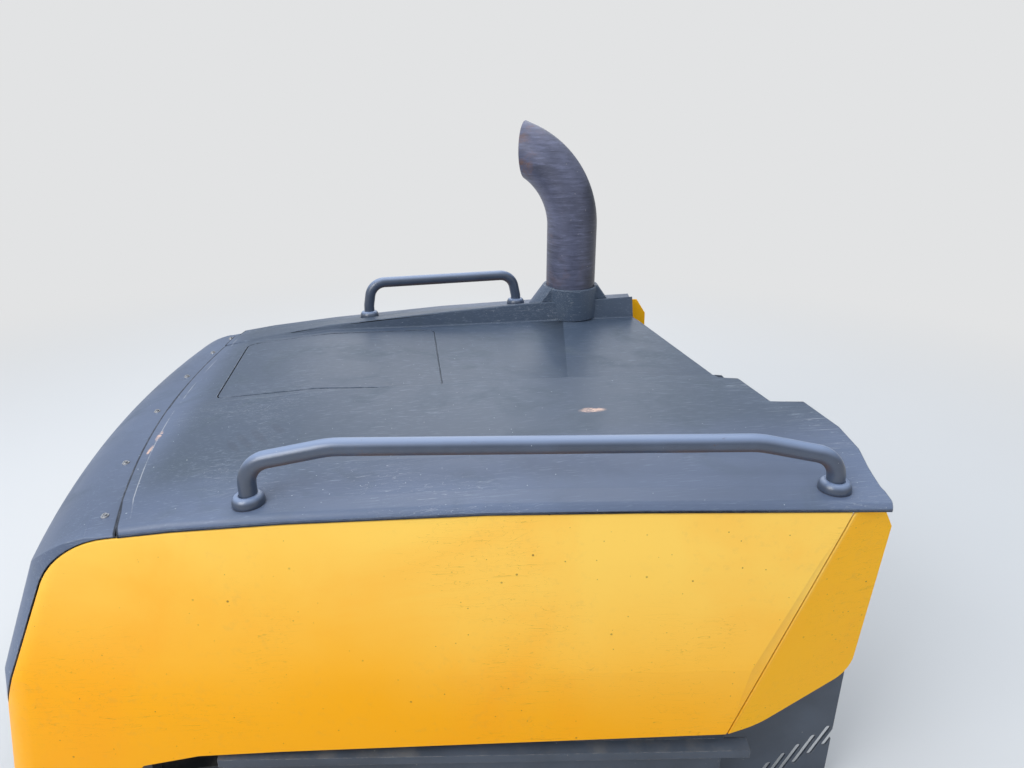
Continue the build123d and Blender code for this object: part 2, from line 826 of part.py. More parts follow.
for side, word in ((-1, "left"), (1, "right")):
    ribs = lining & one_side(side)
    with BuildPart() as shoulder_rail:
        add(ribs & slab(front_rib[0], shoulder_rail_rear, *shoulder_level))
    shoulder_rail.part.label = f"{word}_shoulder_rail"
    export_step(shoulder_rail.part, f"parts/{word}_shoulder_rail.step")

    # The low rail carries a plate that rests on the buffer
    with BuildPart() as low_rail:
        add(ribs & slab(front_rib[1], low_rail_rear, *low_level))
        with BuildSketch(Plane.XY.offset(shoulder_z + low_level[0])):
            inner, outer = buffer_y - buffer_radius, half_width(low_rail_rear)
            with Locations((buffer_x + rear_x, side * (inner + outer) / 2)):
                Rectangle(2 * buffer_radius, outer - inner)
        extrude(amount=rest_thick)
    low_rail.part.label = f"{word}_low_rail"
    export_step(low_rail.part, f"parts/{word}_low_rail.step")

    for kind, (rib, foot) in posts.items():
        name = f"{word}_{kind}"
        with BuildPart() as post:
            add(ribs & slab(*rib, foot, shoulder_level[0]))
            if side * lift_y > 0 and kind == "front_post":
                # Plate beside the lift cylinder's eye, standing on the foot ring
                with BuildSketch(Plane.XZ.offset(-(lift_y - lift_eye_width / 2 - seat))):
                    with BuildLine():
                        Line(at(*lift_eye), at(lift_eye[0] + lift_pin, foot))
                    trace(line_width=2 * barrel_radius)
                extrude(amount=bracket_width)
                add(slab(front_limit, rear_limit, foot - shoulder_z, foot), mode=Mode.SUBTRACT)
        post.part.label = name
        export_step(post.part, f"parts/{name}.step")

# Beam between the front posts, with the two hinge arms
with BuildPart() as hinge_beam:
    add(wall_room & slab(*front_rib, *low_level))
    for y in (-sill_y, sill_y):
        with BuildSketch(Plane.XZ.offset(-y)):
            with BuildLine():
                Line(at(hinge_x, hinge_z), at(front_rib[1] - eye_radius, sum(low_level) / 2))
            trace(line_width=arm_depth)
            with Locations(at(hinge_x, hinge_z)):
                Circle(eye_radius)
                Circle(hinge_pin + running, mode=Mode.SUBTRACT)
        extrude(amount=arm_width / 2, both=True)
hinge_beam.part.label = "hinge_beam"
export_step(hinge_beam.part, "parts/hinge_beam.step")

post_top = shoulder_z + low_level[0] - buffer_height

# Sills with their hinge lugs, chassis bolt holes and outriggers for the skirts
for side, word in ((-1, "left"), (1, "right")):
    with BuildPart() as sill:
        front, bottom = at(sill_front, -shoulder_z)
        length = sill_rear - sill_front
        with BuildSketch(Plane.YZ.offset(front)):
            with Locations((side * sill_y, sill_height / 2)):
                Rectangle(sill_width, sill_height)
                Rectangle(
                    sill_width - 2 * sill_wall, sill_height - 2 * sill_wall, mode=Mode.SUBTRACT
                )
        extrude(amount=length)
        for place, height in outriggers:
            with BuildSketch(Plane.YZ.offset(place + rear_x)):
                inner = sill_y + sill_width / 2
                outer = half_width(place) - skirt_inset - skirt_wall - seat
                with Locations((side * (inner + outer) / 2, height / 2)):
                    Rectangle(outer - inner, height)
            extrude(amount=sill_width)
        with BuildSketch(Plane.XY):
            with Locations((buffer_x + rear_x, side * buffer_y)):
                Rectangle(2 * buffer_radius, 2 * buffer_radius)
        extrude(amount=post_top)
        for place in (-bolt_x, bolt_x):
            with Locations((place, side * sill_y, 0)):
                Cylinder(
                    bolt_radius,
                    sill_height,
                    align=(Align.CENTER, Align.CENTER, Align.MIN),
                    mode=Mode.SUBTRACT,
                )
        for lug_side in (-1, 1):
            inner = side * sill_y + lug_side * (arm_width / 2 + lug_clearance)
            with BuildSketch(Plane.XZ.offset(-inner)):
                with BuildLine():
                    Polyline(
                        at(hinge_x - lug_radius, hinge_z),
                        at(hinge_x + lug_radius, hinge_z),
                        at(hinge_x + lug_foot, sill_height - shoulder_z - 1),
                        at(sill_front, sill_height - shoulder_z - 1),
                        close=True,
                    )
                make_face()
                with Locations(at(hinge_x, hinge_z)):
                    Circle(lug_radius)
                    Circle(hinge_pin + running, mode=Mode.SUBTRACT)
            extrude(amount=-lug_side * lug_width)
        if side * lift_y > 0:
            with BuildSketch(Plane.XZ.offset(-side * (sill_y + sill_width / 2))):
                with Locations(at(*lift_base)):
                    Circle(lift_pin)
            extrude(amount=-side * (abs(lift_y) - sill_y - sill_width / 2 + lift_eye_width / 2))
    sill.part.label = f"{word}_sill"
    export_step(sill.part, f"parts/{word}_sill.step")

    with BuildPart() as pin:
        with BuildSketch(Plane.XZ.offset(-side * sill_y)):
            with Locations(at(hinge_x, hinge_z)):
                Circle(hinge_pin)
        extrude(amount=arm_width / 2 + lug_clearance + lug_width, both=True)
    pin.part.label = f"{word}_hinge_pin"
    export_step(pin.part, f"parts/{word}_hinge_pin.step")

    with BuildPart() as buffer:
        with BuildSketch(Plane.XY.offset(post_top)):
            with Locations((buffer_x + rear_x, side * buffer_y)):
                Circle(buffer_radius)
        extrude(amount=buffer_height - seat)
        fillet(buffer.edges().group_by(Axis.Z)[-1], buffer_radius / 4)
    buffer.part.label = f"{word}_buffer"
    export_step(buffer.part, f"parts/{word}_buffer.step")

for name, place in crossmembers:
    with BuildPart() as crossmember:
        with BuildSketch(Plane.XZ):
            with Locations((place + rear_x + sill_width / 2, sill_height / 2)):
                Rectangle(sill_width, sill_height)
                Rectangle(
                    sill_width - 2 * sill_wall, sill_height - 2 * sill_wall, mode=Mode.SUBTRACT
                )
        extrude(amount=sill_y - sill_width / 2, both=True)
    crossmember.part.label = name
    export_step(crossmember.part, f"parts/{name}.step")

# Skirts: a band, a rounded ledge and a set-back rear part with leaning slots
for side, word in ((-1, "left"), (1, "right")):
    with BuildPart() as skirt:
        for place in (skirt_front, skirt_rear):
            outer = half_width(place) - skirt_inset
            with BuildSketch(Plane.YZ.offset(place + rear_x)):
                with Locations((side * (outer - skirt_wall / 2), (skirt_top + shoulder_z) / 2)):
                    Rectangle(skirt_wall, skirt_top + shoulder_z)
        loft(ruled=True)
        for place in (skirt_front, ledge_rear):
            outer = half_width(place) - skirt_inset
            reach = skirt_inset + ledge_out
            with BuildSketch(Plane.YZ.offset(place + rear_x)):
                with BuildLine():
                    Polyline(
                        (side * (outer - skirt_wall / 2), ledge_section[0][1] + shoulder_z),
                        *[
                            (side * (outer + share * reach), height + shoulder_z)
                            for share, height in ledge_section
                        ],
                        (side * (outer - skirt_wall / 2), ledge_section[-1][1] + shoulder_z),
                        close=True,
                    )
                make_face()
        loft(ruled=True)
        rear = at(skirt_rear, 0)[0]
        edge = half_width(skirt_rear) - skirt_inset
        with BuildSketch(Plane.XY):
            with BuildLine():
                Polyline(
                    (rear - skirt_wall, side * edge),
                    (rear, side * edge),
                    (rear, side * louvre_y),
                    (louvre_rear + rear_x, side * louvre_y),
                    (louvre_rear + rear_x, side * (louvre_y - skirt_wall)),
                    (rear - skirt_wall, side * (louvre_y - skirt_wall)),
                    close=True,
                )
            make_face()
        extrude(amount=louvre_top + shoulder_z)
        with BuildSketch(Plane.XZ):
            place, height = slot_front
            middles = [at(place + i * slot_pitch, height + i * slot_rise) for i in range(slot_count)]
            with Locations(*middles):
                SlotOverall(slot_length, slot_width, rotation=slot_lean)
        extrude(amount=-side * rear_half_width, mode=Mode.SUBTRACT)
    skirt.part.label = f"{word}_skirt"
    export_step(skirt.part, f"parts/{word}_skirt.step")

# Lift cylinder, opened at the rod's eye
lift_run = Vector(lift_eye[0] - lift_base[0], 0, lift_eye[1] - lift_base[1])
lift_length = lift_run.length
lift_line = lift_run.normalized()
base_x, base_z = at(*lift_base)
lift_plane = Plane(origin=(base_x, lift_y, base_z), x_dir=(0, 1, 0), z_dir=tuple(lift_line))
with BuildPart() as lift_barrel:
    with BuildSketch(lift_plane.offset(barrel_foot)):
        Circle(barrel_radius)
    extrude(amount=barrel_length - barrel_foot)
    with BuildSketch(Plane.XZ.offset(-lift_y)):
        with Locations((base_x, base_z)):
            Circle(barrel_radius)
    extrude(amount=lift_eye_width / 2, both=True)
    with BuildSketch(Plane.XZ.offset(-lift_y)):
        with Locations((base_x, base_z)):
            Circle(lift_pin + running)
    extrude(amount=lift_eye_width, both=True, mode=Mode.SUBTRACT)
    with BuildSketch(lift_plane.offset(rod_start)):
        Circle(rod_radius + running)
    extrude(amount=barrel_length, mode=Mode.SUBTRACT)
lift_barrel.part.label = "lift_barrel"
export_step(lift_barrel.part, "parts/lift_barrel.step")

eye_x, eye_z = at(*lift_eye)
with BuildPart() as lift_rod:
    with BuildSketch(lift_plane.offset(rod_start + seat)):
        Circle(rod_radius)
    extrude(amount=lift_length - rod_start - seat - lift_pin)
    with BuildSketch(Plane.XZ.offset(-lift_y)):
        with Locations((eye_x, eye_z)):
            Circle(barrel_radius)
    extrude(amount=lift_eye_width / 2, both=True)
lift_rod.part.label = "lift_rod"
export_step(lift_rod.part, "parts/lift_rod.step")
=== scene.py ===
import json
import math

import bmesh
import bpy
from bpy.props import FloatProperty, FloatVectorProperty, IntProperty, PointerProperty
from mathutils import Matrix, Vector
from mathutils.bvhtree import BVHTree


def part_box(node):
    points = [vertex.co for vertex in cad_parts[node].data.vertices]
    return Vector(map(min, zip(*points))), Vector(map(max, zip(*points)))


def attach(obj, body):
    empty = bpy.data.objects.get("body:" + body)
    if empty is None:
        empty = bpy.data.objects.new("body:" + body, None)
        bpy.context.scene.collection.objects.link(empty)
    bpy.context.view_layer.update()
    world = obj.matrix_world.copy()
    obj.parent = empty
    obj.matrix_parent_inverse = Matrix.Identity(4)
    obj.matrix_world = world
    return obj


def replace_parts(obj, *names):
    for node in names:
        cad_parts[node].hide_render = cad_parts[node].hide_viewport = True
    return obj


bl_info = {
    "name": "Engine bonnet",
    "version": (1, 0, 0),
    "blender": (4, 5, 0),
    "location": "3D Viewport > Sidebar > Bonnet",
    "description": "Dresses the engine bonnet of a forestry forwarder and sets its stage",
    "category": "Object",
}

MM = 0.001
CLEAR = 2.0  # metres; rays start this far from the middle, past every piece
SIDES = (("left", -1), ("right", 1))
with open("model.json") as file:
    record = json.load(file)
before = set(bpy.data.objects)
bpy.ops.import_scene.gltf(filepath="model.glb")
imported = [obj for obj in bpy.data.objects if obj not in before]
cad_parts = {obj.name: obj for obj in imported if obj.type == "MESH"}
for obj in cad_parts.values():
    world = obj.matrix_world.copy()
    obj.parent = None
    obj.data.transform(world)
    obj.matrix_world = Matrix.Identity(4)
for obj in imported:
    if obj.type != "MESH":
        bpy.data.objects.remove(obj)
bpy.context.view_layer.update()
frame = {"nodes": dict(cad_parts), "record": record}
NODES = frame["nodes"]
BODY_OF = {
    node: body
    for body, members in frame["record"]["behaviour"]["bodies"].items()
    for node in members
}
SLOT_OF = {part["node"]: part["material_slot"] for part in frame["record"]["subparts"]}


def colour(red, green, blue):
    """Blender's linear values for a colour written as it looks on screen, 0 to 255."""
    screen = [channel / 255 for channel in (red, green, blue)]
    return tuple(
        value / 12.92 if value <= 0.04045 else ((value + 0.055) / 1.055) ** 2.4
        for value in screen
    )


def shade(base, factor):
    """A colour made darker or lighter."""
    return tuple(min(1.0, channel * factor) for channel in base[:3])


def hue(name, description, *screen):
    """A colour that a user would change, written as it looks on screen."""
    return FloatVectorProperty(
        name=name, description=description, subtype="COLOR", default=colour(*screen)
    )


def length(name, description, default):
    """A size that a user would change."""
    return FloatProperty(name=name, description=description, unit="LENGTH", default=default)


class BonnetColours(bpy.types.PropertyGroup):
    cover: hue("Cover", "Moulded top and nose", 84, 97, 122)
    panel: hue("Panel", "Side and corner panels", 250, 172, 2)
    rail: hue("Rail", "Grab rails", 64, 74, 92)
    exhaust: hue("Exhaust", "Exhaust stack", 92, 95, 116)
    frame: hue("Frame", "Sills and inner frame", 46, 49, 54)
    skirt: hue("Skirt", "Skirts under the panels", 66, 74, 86)
    rubber: hue("Rubber", "Rubber buffers", 34, 34, 35)
    floor: hue("Floor", "Studio floor", 226, 227, 228)


class BonnetSizes(bpy.types.PropertyGroup):
    cover_edge: length("Cover edge", "Rounding of the moulded cover's edges", 4.5 * MM)
    panel_edge: length("Panel edge", "Rounding of the painted panels' edges", 2 * MM)
    washer_radius: length("Washer", "Radius of the nose screws' washers", 7 * MM)
    screw_radius: length("Screw head", "Radius of the nose screws' heads", 4.6 * MM)
    screw_height: length(
        "Screw height", "Height of the nose screws' heads over their washers", 2.6 * MM
    )
    screw_sides: IntProperty(
        name="Screw sides", description="Sides of a round screw head", default=20, min=6,
    )
    bolt_radius: length(
        "Bolt head", "Radius over the corners of the frame's hexagon bolts", 9.5 * MM
    )
    bolt_height: length("Bolt height", "Height of the frame's bolt heads", 6.4 * MM)
    foot_radius: length("Rail foot", "Radius of the boots at the grab rails' feet", 27 * MM)
    foot_height: length("Rail foot height", "Height of the boots", 19 * MM)
    wire_pitch: length("Screen pitch", "Distance between the debris screen's wires", 7 * MM)
    wire_radius: length("Screen wire", "Radius of the debris screen's wires", 0.8 * MM)


class StageSettings(bpy.types.PropertyGroup):
    eye: FloatVectorProperty(
        name="Eye", description="Place of the camera", subtype="TRANSLATION", unit="LENGTH",
        default=(-0.0033, -1.628, 1.3234),
    )
    pitch: FloatProperty(
        name="Pitch", description="How far the camera looks down", subtype="ANGLE",
        default=math.radians(21.16),
    )
    yaw: FloatProperty(
        name="Yaw", description="How far the camera turns towards the rear", subtype="ANGLE",
        default=math.radians(8.22),
    )
    lens: FloatProperty(
        name="Lens", description="Focal length on a 36 mm wide sensor", subtype="DISTANCE_CAMERA",
        default=25.82,
    )


def by_math(operation):
    """What an operator between two wires does: it adds a Math node."""
    return lambda wire, other: wire.math(operation, other)


class Wire:
    """One output of a node, which adds, multiplies and so on by Math nodes."""

    def __init__(self, owner, socket):
        self.owner = owner
        self.socket = socket

    def math(self, operation, *others, clamp=False):
        return self.owner.node(
            "ShaderNodeMath", [self, *others], operation=operation, use_clamp=clamp
        )

    __add__ = __radd__ = by_math("ADD")
    __mul__ = by_math("MULTIPLY")
    __sub__ = by_math("SUBTRACT")
    __truediv__ = by_math("DIVIDE")
    __lt__ = by_math("LESS_THAN")

    def __rsub__(self, other):
        return self.owner.node("ShaderNodeMath", [other, self], operation="SUBTRACT")

    def clamp(self):
        return self.math("ADD", 0.0, clamp=True)

    def band(self, low, high):
        """0 before low, 1 past high and a smooth rise between; low may be the greater one."""
        return self.owner.node(
            "ShaderNodeMapRange", {"Value": self, "From Min": low, "From Max": high},
            interpolation_type="SMOOTHSTEP",
        )


class NodeTree:
    """A node tree under construction."""

    def node(self, kind, inputs=(), out=0, **settings):
        """A new node with some inputs and settings; gives one of its outputs."""
        made = self.tree.nodes.new(kind)
        for key, value in settings.items():
            setattr(made, key, value)
        pairs = inputs.items() if isinstance(inputs, dict) else enumerate(inputs)
        for key, value in pairs:
            socket = made.inputs[key]
            if isinstance(value, Wire):
                self.tree.links.new(value.socket, socket)
            elif value is not None:
                socket.default_value = (*value[:3], 1.0) if socket.type == "RGBA" else value
        return Wire(self, made.outputs[out])

    def beside(self, wire, name):
        """Another output of the node that a wire leaves."""
        return Wire(self, wire.socket.node.outputs[name])

    def separate(self, vector):
        """A vector's three components."""
        split = self.node("ShaderNodeSeparateXYZ", [vector])
        return [self.beside(split, axis) for axis in "XYZ"]


# Sockets of a Mix node that mixes colours
MIX_FACTOR, MIX_FIRST, MIX_SECOND = 0, 6, 7
MIX_RESULT = 2
LONG_SCRATCH = 0.035  # a scratch pattern's scale along its lines, over that across them
OVAL_FADE = (1.15, 0.55)  # an oval's soft edge, in shares of its half axes
EDGE_TURN = (0.02, 0.14)  # how much a rounded edge turns the normal, from flat to a full edge
DEEP = 1e3  # metres, for a mark that goes right through


class Finish(NodeTree):
    """A material under construction, with the patterns that the finishes share."""

    def __init__(self, name):
        self.material = bpy.data.materials.new(name)
        self.material.use_nodes = True
        self.tree = self.material.node_tree
        self.tree.nodes.clear()
        self.place = self.node("ShaderNodeTexCoord", out="Object")
        self.normal = self.node("ShaderNodeNewGeometry", out="Normal")

    def stretched(self, scale, turn=(0, 0, 0)):
        """Object coordinates with a scale for each axis, which draws a pattern out."""
        return self.node(
            "ShaderNodeMapping", {"Vector": self.place, "Rotation": turn, "Scale": scale}
        )

    def noise(self, scale, detail=3, roughness=0.55, distortion=0.0, place=None):
        return self.node(
            "ShaderNodeTexNoise",
            {"Vector": place or self.place, "Scale": scale, "Detail": detail,
             "Roughness": roughness, "Distortion": distortion},
        )

    def specks(self, scale, size, keep, shift=(0, 0, 0)):
        """Round spots of a size, in a share of the cells of a grid."""
        moved = self.node("ShaderNodeMapping", {"Vector": self.place, "Location": shift})
        cells = self.node(
            "ShaderNodeTexVoronoi", {"Vector": moved, "Scale": scale}, "Distance"
        )
        pick = self.node("ShaderNodeSeparateColor", [self.beside(cells, "Color")])
        return (cells < size) * (pick < keep)

    def scratches(self, scale, turn, width):
        """Long thin lines along one direction, broken up."""
        along = self.stretched((scale * LONG_SCRATCH, scale, scale), turn)
        line = self.noise(1.0, 2, 0.6, 0.6, along)
        near = (line - 0.5).math("ABSOLUTE") < width
        return near * self.noise(2.3, 2, 0.5).band(0.5, 0.62)

    def streaks(self, turn, length, width, low, high):
        """Short strokes side by side, like those of a stiff brush."""
        along = self.stretched((1 / length, 1 / width, 1 / width), turn)
        return self.noise(1.0, 2, 0.5, 0.0, along).band(low, high)

    def oval(self, x, y, long, wide, turn=0.0):
        """A soft-edged oval seen from above: 1 inside, 0 outside."""
        inside = self.node(
            "ShaderNodeMapping",
            {"Vector": self.place, "Location": (x, y, 0.0), "Rotation": (0, 0, turn),
             "Scale": (long, wide, DEEP)},
            vector_type="TEXTURE",
        )
        reach = self.node("ShaderNodeVectorMath", [inside], "Value", operation="LENGTH")
        return reach.band(*OVAL_FADE)

    def overlaid(self, pattern, rows):
        """A pattern several times over, once for each row of a table of its values."""
        total = pattern(*rows[0])
        for row in rows[1:]:
            total = total + pattern(*row)
        return total.clamp()

    def rounded(self, radius):
        """The surface's normal with its edges rounded."""
        return self.node("ShaderNodeBevel", {"Radius": radius}, samples=4)

    def edges(self, radius):
        """1 on an edge, 0 away from it."""
        turned_by = self.node(
            "ShaderNodeVectorMath", [self.rounded(radius), self.normal], "Value",
            operation="DOT_PRODUCT",
        )
        return (1 - turned_by).band(*EDGE_TURN)

    def mix(self, factor, first, second):
        return self.node(
            "ShaderNodeMix", {MIX_FACTOR: factor, MIX_FIRST: first, MIX_SECOND: second},
            MIX_RESULT, data_type="RGBA",
        )

    def clouded(self, base, dark, light, factor):
        """A colour that wanders between a darker and a lighter shade of the base."""
        return self.mix(factor, shade(base, dark), shade(base, light))

    def coats(self, tone, layers):
        """A tone with layers over it, each a factor and a colour, the lowest first."""
        for factor, over in layers:
            tone = self.mix(factor, tone, over)
        return tone

    def bump(self, height, strength, distance, under=None):
        return self.node(
            "ShaderNodeBump",
            {"Height": height, "Strength": strength, "Distance": distance, "Normal": under},
        )

    def shader(self, tone, roughness, metallic=0.0, normal=None, extra=None):
        return self.node("ShaderNodeBsdfPrincipled", {
            "Base Color": tone, "Roughness": roughness, "Metallic": metallic,
            "Normal": normal, **(extra or {}),
        })

    def ended(self, shader):
        """The material, with its last shader at its output."""
        output = self.tree.nodes.new("ShaderNodeOutputMaterial")
        self.tree.links.new(shader.socket, output.inputs["Surface"])
        return self.material

    def surface(self, *values, **named):
        return self.ended(self.shader(*values, **named))


SEAM_FRONT = -0.543  # the joint of cover and nose at the middle
SEAM_BOW = 0.2045  # it runs back by this times the square of the distance across
# Painted shade that widens the dark gap of the joint, and the pale broken line on the cover
# behind it: the distance back from the joint, where each fades out and is full, and the heights
# between which it comes in
GAP_SHADE, GAP_SHADE_FADE, GAP_SHADE_LEVEL = -0.0015, (0.0056, 0.0036), (0.60, 0.62)
RIDGE, RIDGE_FADE, RIDGE_LEVEL = 0.020, (0.0012, 0.0004), (0.62, 0.66)
# Where the cover's darker middle comes in: from the left, from the right and from the front
MIDDLE_LEFT, MIDDLE_RIGHT, MIDDLE_FRONT = (-0.52, -0.36), (0.62, 0.52), (-0.52, -0.44)
HATCH_END = (0.22, -0.02)  # it is darkest ahead of here
SHOULDER_SHEEN = (-0.50, -0.58)  # where the painted sky reflection along the left shoulder comes in
# Columns: x, y, half length, half width, turn; strokes where a hand wiped the dust away
WIPE_TURN = math.radians(-63)
WIPES = (
    (-0.346, -0.316, 0.036, 0.008, WIPE_TURN),
    (-0.328, -0.300, 0.050, 0.009, WIPE_TURN),
    (-0.303, -0.287, 0.050, 0.009, WIPE_TURN),
    (-0.270, -0.264, 0.034, 0.009, WIPE_TURN),
)
WIPE_LEVEL = (0.68, 0.70)  # the wiped strokes are on the top alone
# Columns: x, y, half length, half width; bare patches in the top's colour
BARE = (
    (-0.515, -0.197, 0.005, 0.026),
    (-0.513, -0.263, 0.004, 0.022),
    (0.347, -0.322, 0.028, 0.013),
)
BARE_LEVEL = (0.68, 0.69)
# Columns: turn, length, width, noise where a stroke begins, noise where it is full
COVER_STROKES = (
    ((0, 0, 0.03), 0.035, 0.0016, 0.60, 0.74),
    ((0, 0, -0.10), 0.055, 0.0024, 0.62, 0.76),
)
# Columns: scale, turn, width
COVER_SCRATCHES = (
    (62.0, (0.2, 0.1, 0.35), 0.0022),
    (85.0, (0.1, 0.3, -0.9), 0.0018),
    (48.0, (0.0, 0.2, 1.7), 0.0016),
)
# Columns: scale, size, share of the cells, shift of the pattern
COVER_SPECKS = ((80.0, 0.075, 0.14), (34.0, 0.045, 0.14, (3.1, 1.7, 0.4)))


def cover_finish(base):
    """Moulded slate plastic: brushed strokes, dust in spots, fine scratches, rubbed edges, a
    darker middle, a painted sky reflection along the left shoulder and painted shade in the joint
    with the nose.
    """
    f = Finish("moulded_slate")
    x, y, z = f.separate(f.place)
    cloud = f.noise(2.2, 5, 0.6, 0.3)
    grime = f.noise(7.0, 6, 0.62, 0.6).band(0.46, 0.76)
    darker_middle = y.band(*MIDDLE_LEFT) * y.band(*MIDDLE_RIGHT) * x.band(*MIDDLE_FRONT)
    patchy = f.noise(5.0, 4, 0.6, 0.3).band(0.38, 0.72)
    strokes = f.overlaid(f.streaks, COVER_STROKES)
    scrapes = f.overlaid(f.scratches, COVER_SCRATCHES)
    dots = f.overlaid(f.specks, COVER_SPECKS)
    behind = x - (y * y * SEAM_BOW + SEAM_FRONT)
    # painted shade on the cover beside the joint, drawn wider than its real gap
    gap_shade = (behind - GAP_SHADE).math("ABSOLUTE").band(*GAP_SHADE_FADE) * z.band(*GAP_SHADE_LEVEL)
    # a pale broken line on the cover, 20 mm behind the joint
    pale_line = (behind - RIDGE).math("ABSOLUTE").band(*RIDGE_FADE)
    pale_line = pale_line * f.noise(9.0, 6, 0.75).band(0.42, 0.60) * z.band(*RIDGE_LEVEL)
    wiped = f.overlaid(f.oval, WIPES) * z.band(*WIPE_LEVEL)
    flecked = f.streaks((0, 0, 0.2), 0.012, 0.0022, 0.45, 0.55)
    bare = f.overlaid(f.oval, BARE) * flecked * z.band(*BARE_LEVEL)
    worn = f.edges(0.004) * f.noise(38.0, 4, 0.7).band(0.40, 0.62)
    tone = f.coats(f.clouded(base, 0.84, 1.10, cloud.band(0.32, 0.7)), (
        (darker_middle * 0.72, (0.044, 0.066, 0.098)),
        (darker_middle * x.band(*HATCH_END) * 0.35, (0.030, 0.048, 0.085)),
        (grime * 0.40, (0.060, 0.084, 0.105)),
        # painted sky reflection: a paler, bluer strip along the left shoulder
        (y.band(*SHOULDER_SHEEN) * 0.10, (0.30, 0.38, 0.55)),
        (strokes * (0.10 + patchy * 0.40 + darker_middle * 0.12), (0.27, 0.33, 0.42)),
        (scrapes * 0.5, (0.40, 0.43, 0.48)),
        (dots * 0.65, (0.50, 0.55, 0.60)),
        # painted shade widening the joint's gap
        (gap_shade * 0.85, (0.012, 0.014, 0.018)),
        (pale_line * 0.6, (0.45, 0.46, 0.48)),
        (wiped * 0.42, shade(base, 0.40)),
        (bare, (0.62, 0.42, 0.34)),
        (worn * 0.45, (0.34, 0.38, 0.45)),
    ))
    rough = 0.38 + cloud * 0.10 + grime * 0.14 + scrapes * 0.1 + gap_shade * 0.45
    normal = f.bump(f.noise(900.0, 2, 0.5), 0.10, 0.0004, f.rounded(0.003))
    normal = f.bump(f.noise(5.0, 3, 0.5), 0.15, 0.004, normal)
    return f.surface(tone, rough, 0.0, normal)


CREASE_FOOT = 0.439  # where the joint of side and corner panel would meet the sills' feet
CREASE_LEAN = 0.358  # it runs back from there by this for each unit of height
CREASE_FADE = (0.0, 0.012)
SHEEN_HEIGHTS = (0.42, 0.88)  # heights between which the painted sky sheen on the yellow comes in
# Columns as for the cover
PANEL_SCRATCHES = (
    (58.0, (0.2, 0.5, 0.2), 0.0018),
    (76.0, (0.1, -0.7, 0.1), 0.0015),
    (44.0, (0.0, 1.1, 0.0), 0.0012),
)
PANEL_SPECKS = ((90.0, 0.10, 0.10), (38.0, 0.075, 0.16, (1.3, 0.2, 2.2)))


def panel_finish(base):
    """Yellow enamel: a painted sky sheen towards the top, a painted brighter orange on the corner
    panel, chips of dirt, thin scratches.
    """
    f = Finish("yellow_enamel")
    x, _, z = f.separate(f.place)
    cloud = f.noise(1.6, 4, 0.55, 0.4)
    # painted sky sheen: the yellow paler towards the top
    sky_sheen = (z + cloud * 0.30 + x * 0.10).band(*SHEEN_HEIGHTS)
    # the corner panel behind the crease, which gets painted light
    corner = (x - z * CREASE_LEAN - CREASE_FOOT).band(*CREASE_FADE)
    warm = f.noise(2.6, 5, 0.6, 0.8).band(0.46, 0.78)
    scrapes = f.overlaid(f.scratches, PANEL_SCRATCHES)
    dots = f.overlaid(f.specks, PANEL_SPECKS)
    patchy = f.noise(4.0, 3, 0.5).band(0.40, 0.60)
    dust = f.noise(60.0, 5, 0.7).band(0.52, 0.72) * patchy
    worn = f.edges(0.003) * f.noise(50.0, 4, 0.7).band(0.45, 0.62)
    tone = f.coats(base, (
        # painted sky sheen, left off the corner panel
        (sky_sheen * (1 - corner * 0.85), (1.0, base[1] * 1.52, base[2] + 0.11)),
        # painted light: a brighter, deeper orange on the corner panel, to offset the shade that
        # falls on it
        (corner * 0.7, (1.0, 0.50, 0.0)),
        (warm * 0.28, (base[0], base[1] * 0.78, base[2])),
        (scrapes * 0.42, (0.36, 0.19, 0.02)),
        (dots * (0.30 + patchy * 0.5), (0.16, 0.09, 0.02)),
        (dust * 0.12, (0.45, 0.30, 0.10)),
        (worn * 0.4, (0.95, 0.72, 0.30)),
    ))
    rough = 0.42 + cloud * 0.10 + scrapes * 0.1
    normal = f.bump(f.noise(260.0, 3, 0.5), 0.05, 0.0006, f.rounded(0.002))
    normal = f.bump(f.noise(3.0, 3, 0.5), 0.12, 0.004, normal)
    extra = {"Specular IOR Level": 0.18, "Coat Weight": 0.03}
    return f.surface(tone, rough, 0.0, normal, extra=extra)


def paint_finish(name, base, rough=0.42, dust=0.5):
    """Satin paint on steel: a little orange peel, dust and rubbed patches."""
    f = Finish(name)
    _, _, up = f.separate(f.normal)
    cloud = f.noise(6.0, 5, 0.6, 0.3)
    settled = up.band(0.2, 0.95) * f.noise(14.0, 5, 0.6).band(0.4, 0.7)
    worn = f.edges(0.0025) * f.noise(60.0, 4, 0.7).band(0.42, 0.60)
    tone = f.coats(f.clouded(base, 0.8, 1.15, cloud.band(0.35, 0.7)), (
        (settled * dust, (0.22, 0.20, 0.17)),
        (f.specks(120.0, 0.12, 0.05) * 0.6, (0.35, 0.33, 0.30)),
        (worn * 0.5, (0.30, 0.29, 0.28)),
    ))
    normal = f.bump(f.noise(320.0, 3, 0.5), 0.08, 0.0006, f.rounded(0.0015))
    return f.surface(tone, rough + cloud * 0.12, 0.0, normal)


